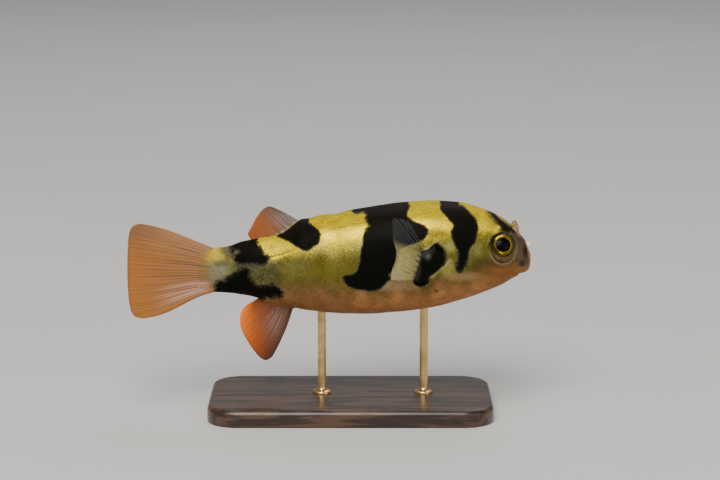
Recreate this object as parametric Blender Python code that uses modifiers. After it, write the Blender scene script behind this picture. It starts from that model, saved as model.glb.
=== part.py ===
"""A banded freshwater pufferfish, life size, on a plain display stand.

+X is the way the fish swims, +Z is up and the fish's left side is +Y. The origin is under the
middle of the fish, on the floor that the stand's base rests on. Sizes are in millimetres here
and become metres where a mesh is made. The flesh is one lofted body, parted into head, trunk and
tail stalk by thin gaps; fins, eyes, nostrils and teeth are separate pieces around it.
"""

import math

import bmesh
import bpy
import numpy as np
from mathutils import Vector

MM = 0.001
GAP = 0.3  # clearance between neighbouring pieces
SIDES = 32  # corners of a body section
RIGHT, LEFT = -1, 1

# The body, from the root of the tail fin to the front of the lips.
BODY_REAR, BODY_FRONT = -22.1, 38.1
HEAD_REAR = 22.7  # the gill opening
TRUNK_REAR = -5.6  # the front of the dorsal and anal fins
WIDEST_LEVEL = 0.46  # height of the widest point, as a share of the body's depth

# x, height of the back, height of the belly, half width.
BODY_SECTIONS = (
    (-22.1, 31.5, 22.9, 1.2),
    (-18.9, 32.0, 22.8, 2.5),
    (-15.1, 33.2, 22.2, 3.8),
    (-10.3, 34.9, 20.9, 5.2),
    (-5.7, 36.7, 19.8, 6.4),
    (0.1, 37.7, 19.1, 7.6),
    (5.8, 38.9, 18.9, 8.5),
    (12.5, 39.9, 19.3, 9.0),
    (19.1, 40.4, 20.2, 8.8),
    (24.8, 40.1, 21.6, 8.1),
    (28.6, 39.1, 22.9, 7.2),
    (32.4, 37.4, 24.4, 5.9),
    (34.7, 35.8, 25.7, 4.8),
    (36.2, 34.1, 26.5, 3.8),
    (37.3, 32.9, 27.3, 2.8),
    (37.9, 32.0, 28.5, 1.8),
    (38.1, 31.4, 29.4, 1.0),
)
# x, squareness of the section above its widest point, and below it; 2 is an ellipse.
BODY_SQUARENESS = (
    (-22.1, 2.0, 2.0),
    (-8.0, 2.3, 2.1),
    (8.0, 2.6, 2.2),
    (26.0, 2.5, 2.3),
    (38.1, 2.1, 2.1),
)

# The eyes, flattened balls in sockets on the sides of the head, looking a little ahead and up.
EYE_X, EYE_Z, EYE_SINK = 32.65, 32.6, 0.65
EYE_RADIUS, EYE_DEPTH = 2.85, 1.55
EYE_AHEAD, EYE_UP = math.radians(14), math.radians(10)
ORBIT_SWELL, ORBIT_REACH = 0.45, 3.9

# The mouth, a slot in the blunt front of the snout, with the beak of fused teeth in it.
BEAK_FRONT, MOUTH_Z = 38.3, 32.05
BEAK_DEPTH, BEAK_HALF_WIDTH, BEAK_HALF_HEIGHT = 1.4, 1.2, 0.8

# The nostrils, a short soft horn on each side of the snout, its height above its foot's middle.
NOSTRIL_X, NOSTRIL_ANGLE, NOSTRIL_LEAN = 34.95, math.radians(71), 0.05
NOSTRIL_HEIGHT, NOSTRIL_BASE, NOSTRIL_TIP = 0.85, 0.62, 0.32
NOSTRIL_SPREAD, NOSTRIL_LIFT = 0.16, 0.4  # half the foot's angle round the snout; its height off it

# The fleshy lobe that carries each pectoral fin.
LOBE_X, LOBE_Z, LOBE_LEAN = 18.9, 29.4, math.radians(28)
LOBE_HALF_LENGTH, LOBE_HALF_WIDTH, LOBE_SWELL = 3.7, 1.9, 0.7

# Fins: thickness at the root and at the edge, corners along the root and along a ray.
FIN_ROOT, TAIL_FIN_ROOT, FIN_EDGE = 1.0, 1.3, 0.5
FIN_RAYS, FIN_SPANS = 15, 6
LEFT_FIN_DROP = 1.6  # how much lower the left pectoral fin's edge is held

# The stand.
BASE_X, BASE_LENGTH, BASE_WIDTH, BASE_THICKNESS = 4.0, 54.0, 30.0, 3.2
BASE_CORNER, BASE_BEVEL = 6.0, 0.5
ROD_RADIUS, ROD_SOCKET_DEPTH = 0.8, 2.0
ROD_PLACES = {"stand_rod_rear": -1.5, "stand_rod_front": 18.0}


# ---------------------------------------------------------------- curves


def through(points, at):
    """A smooth curve through rows of points, read at places along column 0.

    Each stretch is a cubic. The slope at a row is the mean of its neighbours' slopes, and level
    where the curve turns back, so that it doesn't swing past its points.
    """
    table = np.asarray(points, float)
    x, values = table[:, 0], table[:, 1:]
    step = np.diff(x)[:, None]
    slope = np.diff(values, axis=0) / step
    lean = np.vstack([slope[:1], (slope[:-1] + slope[1:]) / 2, slope[-1:]])
    turning = np.vstack([slope[:1] * 0 + 1, slope[:-1] * slope[1:], slope[:1] * 0 + 1]) <= 0
    lean[turning] = 0
    at = np.clip(np.atleast_1d(np.asarray(at, float)), x[0], x[-1])
    i = np.clip(np.searchsorted(x, at, side="right") - 1, 0, len(x) - 2)
    t = ((at - x[i]) / step[i, 0])[:, None]
    h = step[i]
    return (
        (2 * t**3 - 3 * t**2 + 1) * values[i]
        + (t**3 - 2 * t**2 + t) * h * lean[i]
        + (3 * t**2 - 2 * t**3) * values[i + 1]
        + (t**3 - t**2) * h * lean[i + 1]
    )


def signed_power(value, power):
    return np.sign(value) * np.abs(value) ** power


# ---------------------------------------------------------------- body surface


def body_surface(x, angle):
    """Points of the fish's skin at lengths x and angles round the section.

    A section is a superellipse, squarer above its widest point than below. Angle 0 is the
    left side, a quarter turn is the back. The orbits and the pectoral lobes swell sideways.
    """
    x, angle = np.broadcast_arrays(np.asarray(x, float), np.asarray(angle, float))
    shape = x.shape
    x, angle = x.ravel(), angle.ravel()
    back, belly, half = through(BODY_SECTIONS, x).T
    upper, lower = through(BODY_SQUARENESS, x).T
    cosine, sine = np.cos(angle), np.sin(angle)
    power = 2 / np.where(sine > 0, upper, lower)
    middle = belly + WIDEST_LEVEL * (back - belly)
    y = half * signed_power(cosine, power)
    reach = np.where(sine > 0, back - middle, middle - belly)
    z = middle + reach * signed_power(sine, power)
    y = y + np.sign(cosine) * swelling(x, z) * np.abs(cosine) ** 0.5
    return np.stack([x, y, z], -1).reshape(*shape, 3)


def swelling(x, z):
    """How far the orbit and the pectoral lobe stand out of the plain section."""
    orbit = np.hypot(x - EYE_X, z - EYE_Z) / ORBIT_REACH
    along = (z - LOBE_Z) * math.cos(LOBE_LEAN) + (x - LOBE_X) * math.sin(LOBE_LEAN)
    across = (x - LOBE_X) * math.cos(LOBE_LEAN) - (z - LOBE_Z) * math.sin(LOBE_LEAN)
    lobe = np.hypot(along / LOBE_HALF_LENGTH, across / LOBE_HALF_WIDTH)
    return ORBIT_SWELL * np.exp(-(orbit**4)) + LOBE_SWELL * np.exp(-(lobe**4))


def surface_normal(x, angle):
    """The outward unit normal of the body surface."""
    nudge = 1e-3
    along = body_surface(x + nudge, angle) - body_surface(x - nudge, angle)
    around = body_surface(x, angle + nudge) - body_surface(x, angle - nudge)
    normal = np.cross(around, along)
    normal /= np.linalg.norm(normal, axis=-1, keepdims=True)
    outward = body_surface(x, angle) - body_surface(x, angle + math.pi)
    return normal * np.sign(np.sum(normal * outward, -1, keepdims=True))


def angle_at_height(x, z, side):
    """The angle round the section at x where the skin of one side is at height z."""
    angles = np.linspace(-math.pi / 2, math.pi / 2, 721)
    if side == RIGHT:
        angles = math.pi - angles
    heights = body_surface(np.full_like(angles, x), angles)[:, 2]
    return float(angles[np.argmin(np.abs(heights - z))])


# ---------------------------------------------------------------- mesh helpers


def material(name, colour, roughness, metallic=0.0):
    made = bpy.data.materials.new(name)
    made.use_nodes = True
    shader = made.node_tree.nodes["Principled BSDF"]
    shader.inputs["Base Color"].default_value = (*colour, 1)
    shader.inputs["Roughness"].default_value = roughness
    shader.inputs["Metallic"].default_value = metallic
    made.diffuse_color = (*colour, 1)
    return made


def piece(name, points, faces, finish, smooth_degrees=40):
    """A named object from points in millimetres, with its normals turned outwards."""
    mesh = bpy.data.meshes.new(name)
    mesh.from_pydata((np.asarray(points) * MM).tolist(), [], faces)
    builder = bmesh.new()
    builder.from_mesh(mesh)
    bmesh.ops.recalc_face_normals(builder, faces=builder.faces)
    builder.to_mesh(mesh)
    builder.free()
    made = bpy.data.objects.new(name, mesh)
    PARTS.objects.link(made)
    made.data.materials.append(finish)
    mesh.shade_smooth()
    mesh.set_sharp_from_angle(angle=math.radians(smooth_degrees))
    return made


def helper(made):
    """Moves an object to the cutters, which no render shows."""
    for holder in list(made.users_collection):
        holder.objects.unlink(made)
    CUTTERS.objects.link(made)
    made.hide_render = True
    made.display_type = "WIRE"
    return made


def cut(target, cutter):
    boolean = target.modifiers.new("cut_" + cutter.name, "BOOLEAN")
    boolean.operation = "DIFFERENCE"
    boolean.object = cutter


def loft(name, rings, finish):
    """A closed solid through a stack of rings, with a flat face at each end."""
    count, sides = rings.shape[:2]
    faces = []
    for lower in range(0, (count - 1) * sides, sides):
        upper = lower + sides
        for here in range(sides):
            there = (here + 1) % sides
            faces.append((lower + here, lower + there, upper + there, upper + here))
    faces.append(tuple(range(sides)))
    faces.append(tuple(range((count - 1) * sides, count * sides)))
    return piece(name, rings.reshape(-1, 3), faces, finish)


def ball(name, centre, radii, finish, axis=(0, 1, 0), segments=24, rings=12):
    """A ball at centre, with its poles on an axis. Its radii are along x, the axis and z."""
    bpy.ops.mesh.primitive_uv_sphere_add(segments=segments, ring_count=rings, radius=MM)
    made = bpy.context.object
    made.name = name
    turn = Vector((0, 0, 1)).rotation_difference(Vector(axis))
    for vertex in made.data.vertices:
        x, y, z = vertex.co
        stretched = Vector((x * radii[0], y * radii[2], z * radii[1]))
        vertex.co = Vector(centre) * MM + turn @ stretched
    made.data.materials.append(finish)
    made.data.shade_smooth()
    for holder in list(made.users_collection):
        holder.objects.unlink(made)
    PARTS.objects.link(made)
    return made


def sheet(name, middle, side, thickness, finish):
    """A thin closed solid: a grid of points given half its thickness to each side."""
    front = middle + side * thickness[..., None] / 2
    back = middle - side * thickness[..., None] / 2
    rows, columns = middle.shape[:2]
    total = rows * columns

    def corner(row, column, layer):
        return layer * total + row * columns + column

    faces = []
    for r in range(rows - 1):
        for c in range(columns - 1):
            for layer in (0, 1):
                square = ((r, c), (r + 1, c), (r + 1, c + 1), (r, c + 1))
                faces.append(tuple(corner(*place, layer) for place in square))
    rim = [(0, c) for c in range(columns)]
    rim += [(r, columns - 1) for r in range(1, rows)]
    rim += [(rows - 1, c) for c in range(columns - 2, -1, -1)]
    rim += [(r, 0) for r in range(rows - 2, 0, -1)]
    for here, there in zip(rim, rim[1:] + rim[:1]):
        faces.append((corner(*here, 0), corner(*there, 0), corner(*there, 1), corner(*here, 1)))
    points = np.concatenate([front.reshape(-1, 3), back.reshape(-1, 3)])
    return piece(name, points, faces, finish)


# ---------------------------------------------------------------- flesh


def flesh(name, rear, front, rings, finish):
    """A length of the body between two places, its sections closer towards the snout."""
    share = np.linspace(0, 1, rings)
    if front == BODY_FRONT:
        share = 1 - (1 - share) ** 2.2
    places = rear + (front - rear) * share
    angles = np.arange(SIDES) * 2 * math.pi / SIDES
    return loft(name, body_surface(places[:, None], angles[None, :]), finish)


def build_flesh(skin):
    head = flesh("head", HEAD_REAR, BODY_FRONT, 20, skin)
    flesh("trunk", TRUNK_REAR, HEAD_REAR - GAP, 14, skin)
    flesh("tail_stalk", BODY_REAR, TRUNK_REAR - GAP, 9, skin)
    return head


def build_eyes(head, finish):
    """Each eye's middle lies a little under the skin, so that a low dome stands out of it."""
    for side, name in ((RIGHT, "right"), (LEFT, "left")):
        across = side * math.cos(EYE_AHEAD) * math.cos(EYE_UP)
        axis = np.array([math.sin(EYE_AHEAD) * math.cos(EYE_UP), across, math.sin(EYE_UP)])
        skin = body_surface(EYE_X, angle_at_height(EYE_X, EYE_Z, side))
        centre = skin - EYE_SINK * axis
        ball("eye_" + name, centre, (EYE_RADIUS, EYE_DEPTH, EYE_RADIUS), finish, axis)
        grown = (EYE_RADIUS + GAP, EYE_DEPTH + GAP, EYE_RADIUS + GAP)
        cut(head, helper(ball("socket_" + name, centre, grown, finish, axis)))


def build_mouth(head, finish):
    """The slot between the lips, and the beak that stands out of it a little."""
    centre = (BEAK_FRONT - BEAK_DEPTH, 0, MOUTH_Z)
    ball("beak", centre, (BEAK_DEPTH, BEAK_HALF_WIDTH, BEAK_HALF_HEIGHT), finish, segments=20)
    grown = (BEAK_DEPTH + GAP, BEAK_HALF_WIDTH + GAP, BEAK_HALF_HEIGHT + GAP)
    cut(head, helper(ball("mouth_slot", centre, grown, finish, segments=20)))


def build_nostrils(finish):
    """Soft horns whose foot follows the skin and whose top is level, straight above the foot."""
    turns = np.arange(12) * 2 * math.pi / 12
    for side, name in ((RIGHT, "right"), (LEFT, "left")):
        angle = NOSTRIL_ANGLE if side == LEFT else math.pi - NOSTRIL_ANGLE
        foot_x = NOSTRIL_X + NOSTRIL_BASE * np.cos(turns)
        foot_angle = angle - side * NOSTRIL_SPREAD * np.sin(turns)
        foot = body_surface(foot_x, foot_angle) + NOSTRIL_LIFT * surface_normal(foot_x, foot_angle)
        middle = foot.mean(axis=0)
        round_top = np.stack([np.cos(turns), side * np.sin(turns), 0 * turns], -1)
        rings = []
        for share in (0.0, 0.25, 0.5, 0.75, 1.0):
            centre = middle + np.array([NOSTRIL_LEAN * share, 0, NOSTRIL_HEIGHT * share])
            radius = NOSTRIL_BASE + (NOSTRIL_TIP - NOSTRIL_BASE) * share**2
            spoke = (foot - middle) * (1 - share) + round_top * NOSTRIL_BASE * share
            rings.append(centre + spoke * radius / NOSTRIL_BASE)
        loft("nostril_" + name, np.array(rings), finish)


# ---------------------------------------------------------------- fins


def fin_grid(root, tip, bow):
    """Rays from root to tip, bowed by a share of their length; axis 0 counts the rays."""
    run = np.linspace(0, 1, FIN_SPANS)[None, :, None]
    straight = root[:, None] + (tip - root)[:, None] * run
    return straight + bow[:, None] * 4 * run * (1 - run)


def fin_thickness(root_thickness):
    run = np.linspace(0, 1, FIN_SPANS)
    return root_thickness + (FIN_EDGE - root_thickness) * np.minimum(1, 2.5 * run)


def upright(points_xz):
    """Points in the fish's middle plane."""
    return np.stack([points_xz[:, 0], 0 * points_xz[:, 0], points_xz[:, 1]], -1)


def median_fin(name, root, edge, bow, sway, finish, root_thickness=FIN_ROOT):
    """A fin in the fish's middle plane. Edge is its outline from the first ray to the last."""
    share = np.linspace(0, 1, FIN_RAYS)
    tip = upright(through(edge, share))
    grid = fin_grid(upright(root), tip, upright(bow))
    run = np.linspace(0, 1, FIN_SPANS)
    grid[..., 1] += sway(share[:, None], run[None, :])
    thickness = np.broadcast_to(fin_thickness(root_thickness), grid.shape[:2])
    return sheet(name, grid, np.array([0.0, 1.0, 0.0]), thickness, finish)


def build_tail_fin(finish):
    """The fan of the tail: a straight root up the end of the stalk and a nearly upright edge."""
    share = np.linspace(0, 1, FIN_RAYS)
    root = np.stack([np.full_like(share, BODY_REAR - GAP), 31.4 - 8.5 * share], -1)
    edge = (
        (0.0, -36.3, 36.15),
        (0.05, -37.6, 35.5),
        (0.12, -38.0, 34.1),
        (0.3, -38.25, 31.0),
        (0.5, -38.3, 27.3),
        (0.7, -38.2, 23.6),
        (0.88, -38.0, 20.2),
        (0.95, -37.5, 18.5),
        (1.0, -36.2, 17.85),
    )
    bow = np.stack([0 * share, 0.45 * (1 - 2 * share) ** 3], -1)

    def sway(u, v):
        return 0.5 * v**2 * np.sin(3.5 * u + 0.4)

    return median_fin("tail_fin", root, edge, bow, sway, finish, TAIL_FIN_ROOT)


def build_dorsal_fin(finish):
    """The fin of the back, low and leaning rearward."""
    share = np.linspace(0, 1, FIN_RAYS)
    root_x = -5.95 - 8.6 * share
    back = through(BODY_SECTIONS, root_x)[:, 0]
    root = np.stack([root_x, back + GAP], -1)
    edge = (
        (0.0, -10.8, 39.25),
        (0.12, -11.9, 39.35),
        (0.25, -13.0, 38.6),
        (0.5, -14.3, 36.9),
        (0.75, -15.1, 35.1),
        (0.92, -15.45, 34.1),
        (1.0, -15.2, 33.65),
    )
    bow = np.stack([0 * share, 0.25 * (1 - share)], -1)

    def sway(u, v):
        return 0.3 * v**2 * np.sin(4 * u)

    return median_fin("dorsal_fin", root, edge, bow, sway, finish)


def build_anal_fin(finish):
    """The fin under the tail stalk: a long pointed front and a short round rear."""
    share = np.linspace(0, 1, FIN_RAYS)
    root_x = -6.9 - 6.0 * share
    belly = through(BODY_SECTIONS, root_x)[:, 1]
    root = np.stack([root_x, belly - GAP], -1)
    edge = (
        (0.0, -11.0, 10.25),
        (0.1, -12.2, 9.6),
        (0.22, -13.5, 10.3),
        (0.45, -15.85, 13.6),
        (0.65, -17.05, 16.3),
        (0.8, -17.1, 18.3),
        (0.92, -16.1, 20.2),
        (1.0, -14.9, 20.9),
    )
    bow = np.stack([0.4 * (1 - share), 0 * share], -1)

    def sway(u, v):
        return -0.35 * v**2 * np.sin(3.5 * u)

    return median_fin("anal_fin", root, edge, bow, sway, finish)


def build_pectoral_fins(finish):
    """Fans that stand off the flanks behind their fleshy lobes, the left one spread lower."""
    share = np.linspace(0, 1, FIN_RAYS)
    root_x = 18.5 - 2.3 * share
    root_z = 33.3 - 6.6 * share
    edge = (
        (0.0, 15.1, 38.3),
        (0.1, 13.7, 38.9),
        (0.2, 12.0, 38.8),
        (0.3, 11.9, 37.6),
        (0.5, 12.0, 34.9),
        (0.75, 11.6, 31.0),
        (0.9, 11.3, 28.5),
        (1.0, 12.0, 27.0),
    )
    reach = 2.2 - 0.6 * share
    for side, name, drop in ((RIGHT, "right", 0.0), (LEFT, "left", LEFT_FIN_DROP)):
        angles = [angle_at_height(x, z, side) for x, z in zip(root_x, root_z)]
        skin = body_surface(root_x, np.array(angles))
        root = skin + (GAP + FIN_ROOT / 2) * surface_normal(root_x, np.array(angles))
        tip_xz = through(edge, share)
        tip = np.stack([tip_xz[:, 0], root[:, 1] + side * reach, tip_xz[:, 1] - drop], -1)
        bow = np.stack([0 * share, side * 0.5 + 0 * share, 0 * share], -1)
        grid = fin_grid(root, tip, bow)
        along = np.gradient(grid, axis=1)
        across = np.gradient(grid, axis=0)
        normal = np.cross(along, across)
        normal /= np.linalg.norm(normal, axis=-1, keepdims=True)
        thickness = np.broadcast_to(fin_thickness(FIN_ROOT), grid.shape[:2])
        sheet("pectoral_fin_" + name, grid, normal, thickness, finish)


# ---------------------------------------------------------------- stand


def build_stand(board, metal):
    """A flat board with round corners, and two rods that reach up to the belly."""
    bpy.ops.mesh.primitive_cube_add(size=1)
    base = bpy.context.object
    base.name = "stand_base"
    for vertex in base.data.vertices:
        x, y, z = vertex.co
        vertex.co = (
            (BASE_X + x * BASE_LENGTH) * MM,
            y * BASE_WIDTH * MM,
            (z + 0.5) * BASE_THICKNESS * MM,
        )
    base.data.materials.append(board)
    base.users_collection[0].objects.unlink(base)
    PARTS.objects.link(base)
    upright_edges = base.data.attributes.new("bevel_weight_edge", "FLOAT", "EDGE")
    for edge in base.data.edges:
        first, second = (base.data.vertices[i].co for i in edge.vertices)
        is_upright = abs(first.z - second.z) > BASE_THICKNESS * MM / 2
        upright_edges.data[edge.index].value = 1.0 if is_upright else 0.0
    corners = base.modifiers.new("corners", "BEVEL")
    corners.limit_method = "WEIGHT"
    corners.width = BASE_CORNER * MM
    corners.segments = 6
    rim = base.modifiers.new("rim", "BEVEL")
    rim.limit_method = "ANGLE"
    rim.angle_limit = math.radians(60)
    rim.width = BASE_BEVEL * MM
    rim.segments = 2
    for name, x in ROD_PLACES.items():
        foot = BASE_THICKNESS - ROD_SOCKET_DEPTH
        belly = through(BODY_SECTIONS, [x - ROD_RADIUS, x + ROD_RADIUS])[:, 1]
        top = float(belly.min()) - GAP
        rod(name, x, foot + GAP, top, ROD_RADIUS, metal)
        socket = rod("socket_of_" + name, x, foot, BASE_THICKNESS + 1, ROD_RADIUS + GAP, metal)
        cut(base, helper(socket))


def rod(name, x, low, high, radius, finish):
    bpy.ops.mesh.primitive_cylinder_add(
        vertices=20,
        radius=radius * MM,
        depth=(high - low) * MM,
        location=(x * MM, 0, (low + high) / 2 * MM),
    )
    made = bpy.context.object
    made.name = name
    made.data.materials.append(finish)
    made.data.shade_smooth()
    made.data.set_sharp_from_angle(angle=math.radians(40))
    made.users_collection[0].objects.unlink(made)
    PARTS.objects.link(made)
    return made


# ---------------------------------------------------------------- the whole fish


def clear_scene():
    for made in list(bpy.data.objects):
        bpy.data.objects.remove(made, do_unlink=True)


def new_collection(name):
    made = bpy.data.collections.new(name)
    bpy.context.scene.collection.children.link(made)
    return made


clear_scene()
PARTS = new_collection("pufferfish")
CUTTERS = new_collection("cutters")


def main():
    skin = material("skin", (0.72, 0.55, 0.05), 0.4)
    fin = material("fin", (0.6, 0.35, 0.2), 0.45)
    eye = material("eye", (0.08, 0.06, 0.02), 0.08)
    teeth = material("teeth", (0.85, 0.8, 0.72), 0.3)
    board = material("dark_walnut", (0.09, 0.05, 0.03), 0.45)
    metal = material("brass", (0.7, 0.52, 0.25), 0.3, 1.0)
    head = build_flesh(skin)
    build_eyes(head, eye)
    build_mouth(head, teeth)
    build_nostrils(skin)
    build_tail_fin(fin)
    build_dorsal_fin(fin)
    build_anal_fin(fin)
    build_pectoral_fins(fin)
    build_stand(board, metal)


main()
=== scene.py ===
"""The looks of a banded freshwater pufferfish on its display stand.

One skin stands for head, trunk and tail stalk. Fins, eyes, nostril horns, beak and stand are pieces
of their own. +X is the way the fish swims, +Y its left side and +Z up. Sizes are in millimetres
until a mesh is made. Every shape is a grid of points worked out from its formula at once.
"""

import math

import bmesh
import bpy
import numpy as np
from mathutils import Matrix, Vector


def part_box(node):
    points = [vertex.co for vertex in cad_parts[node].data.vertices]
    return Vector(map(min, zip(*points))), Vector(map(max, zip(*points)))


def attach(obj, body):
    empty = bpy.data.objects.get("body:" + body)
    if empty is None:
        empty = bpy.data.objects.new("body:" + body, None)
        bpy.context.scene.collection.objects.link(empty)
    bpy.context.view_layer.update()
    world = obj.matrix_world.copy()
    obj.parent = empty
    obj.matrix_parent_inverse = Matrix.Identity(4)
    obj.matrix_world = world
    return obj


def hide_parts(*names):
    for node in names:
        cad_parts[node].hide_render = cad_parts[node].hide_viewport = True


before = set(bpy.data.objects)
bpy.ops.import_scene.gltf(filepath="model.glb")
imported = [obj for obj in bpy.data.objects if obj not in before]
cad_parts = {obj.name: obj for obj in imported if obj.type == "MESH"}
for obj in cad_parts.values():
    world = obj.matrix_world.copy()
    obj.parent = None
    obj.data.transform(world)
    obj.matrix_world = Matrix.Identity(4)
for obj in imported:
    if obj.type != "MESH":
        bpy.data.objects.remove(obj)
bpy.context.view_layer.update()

MM = 0.001
RIGHT, LEFT = -1, 1
SIDES = ((RIGHT, "right"), (LEFT, "left"))
WATCH = math.radians(10)  # how far above the fish's side the watcher stands
WATCH_DISTANCE, WATCH_X, WATCH_Z = 450.0, 5.8, 33.0  # from where, and the point looked at
LENS = 118.4


def middle_of(node):
    """The middle of a solid's box, in millimetres."""
    low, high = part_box(node)
    return (np.array(low) + np.array(high)) / 2 / MM


# ---------------------------------------------------------------- sizes of the fish

WIDEST_LEVEL = 0.46  # height of the widest point, as a share of the body's depth

# x, height of the back, height of the belly, half width. The first rows run out over the tail fin.
BODY_SECTIONS = (
    (-26.2, 31.6, 22.6, 0.06),
    (-24.9, 31.6, 22.6, 0.32),
    (-23.4, 31.5, 22.75, 0.74),
    (-22.1, 31.5, 22.9, 1.2),
    (-18.9, 31.85, 22.8, 2.5),
    (-17.0, 32.65, 22.55, 3.15),
    (-15.1, 33.05, 22.2, 3.8),
    (-13.2, 33.3, 21.7, 4.4),
    (-10.8, 33.7, 21.0, 5.1),
    (-9.0, 34.25, 20.6, 5.55),
    (-7.3, 35.45, 20.15, 6.0),
    (-5.7, 36.75, 19.8, 6.4),
    (-4.0, 37.1, 19.55, 6.8),
    (-1.1, 37.75, 19.2, 7.4),
    (1.3, 37.9, 19.05, 7.8),
    (3.3, 38.5, 18.95, 8.15),
    (5.8, 38.9, 18.9, 8.5),
    (12.5, 39.9, 19.3, 9.0),
    (19.1, 40.4, 20.2, 8.8),
    (24.8, 40.1, 21.6, 8.1),
    (28.6, 39.1, 22.9, 7.2),
    (32.4, 37.55, 24.4, 5.9),
    (34.7, 35.85, 25.7, 4.8),
    (36.2, 34.1, 26.5, 3.8),
    (37.3, 32.9, 27.3, 2.8),
    (37.9, 32.0, 28.5, 1.8),
    (38.1, 31.4, 29.4, 1.0),
)
# x, squareness of the section above its widest point, and below it; 2 is an ellipse.
BODY_SQUARENESS = (
    (-26.2, 2.0, 2.0),
    (-22.1, 2.0, 2.0),
    (-8.0, 2.3, 2.1),
    (8.0, 2.6, 2.2),
    (26.0, 2.5, 2.3),
    (38.1, 2.1, 2.1),
)
# From the snout round the lips and back into the mouth, in rings that lean back at the top:
# step, x at the top, x at the bottom, top, bottom, half width.
LIP_SECTIONS = (
    (0.0, 36.5, 36.5, 33.76, 26.69, 3.56),
    (1.0, 36.75, 37.1, 33.5, 26.85, 3.15),
    (2.0, 36.95, 37.62, 33.27, 27.15, 2.75),
    (3.0, 37.1, 37.97, 33.08, 27.65, 2.4),
    (4.0, 37.2, 38.16, 32.92, 28.4, 2.05),
    (5.0, 37.22, 38.22, 32.8, 29.4, 1.75),
    (6.0, 37.15, 38.2, 32.7, 30.4, 1.5),
    (7.0, 37.0, 37.9, 32.62, 30.95, 1.34),
    (8.0, 36.85, 37.3, 32.5, 31.2, 1.2),
    (9.0, 36.7, 36.8, 32.2, 31.6, 0.5),
)


def direction(ahead, up):
    """The unit vector that points to the fish's left, turned ahead and up by these angles."""
    return np.array(
        [math.sin(ahead) * math.cos(up), math.cos(ahead) * math.cos(up), math.sin(up)]
    )


# The orbits stand where the eyes' solids are, turned a little ahead and up. The gaze in them is
# turned further up. An eye shows the cap of a ball, EYE_DEPTH high over its solid's middle.
EYE_AHEAD, EYE_UP = math.radians(14), math.radians(10)
GAZE_BACK, GAZE_UP = math.radians(1), math.radians(12)
BALL_RADIUS, EYE_DEPTH = 3.3, 1.55
IRIS_SPREAD, PUPIL_SPREAD = math.radians(43), math.radians(27)
LID_RADIUS, LID_DROOP = 2.5, 0.13  # the socket, and how much further it reaches below
ORBIT_X, ORBIT_Z, ORBIT_SWELL, ORBIT_REACH = 32.65, 32.6, 0.45, 3.9
EYE_PLACE = np.abs(middle_of("eye_left"))
EYE_AXIS = direction(EYE_AHEAD, EYE_UP)
BEAK_PLACE = middle_of("beak")

NOSTRIL_X, NOSTRIL_ANGLE, NOSTRIL_LEAN = 35.2, math.radians(71), 0.05
LEFT_FIN_DROP = 1.6  # how much lower the left pectoral fin's edge is held

LOBE_X, LOBE_Z, LOBE_LEAN = 18.9, 29.4, math.radians(28)
LOBE_HALF_LENGTH, LOBE_HALF_WIDTH, LOBE_SWELL = 3.7, 1.9, 0.7


# ---------------------------------------------------------------- markings
# Places on the flank are (x, height) as they look to the watcher, see seen_from_side. Both sides
# carry the same shapes, and those that pass the back's height meet across it.

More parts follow.
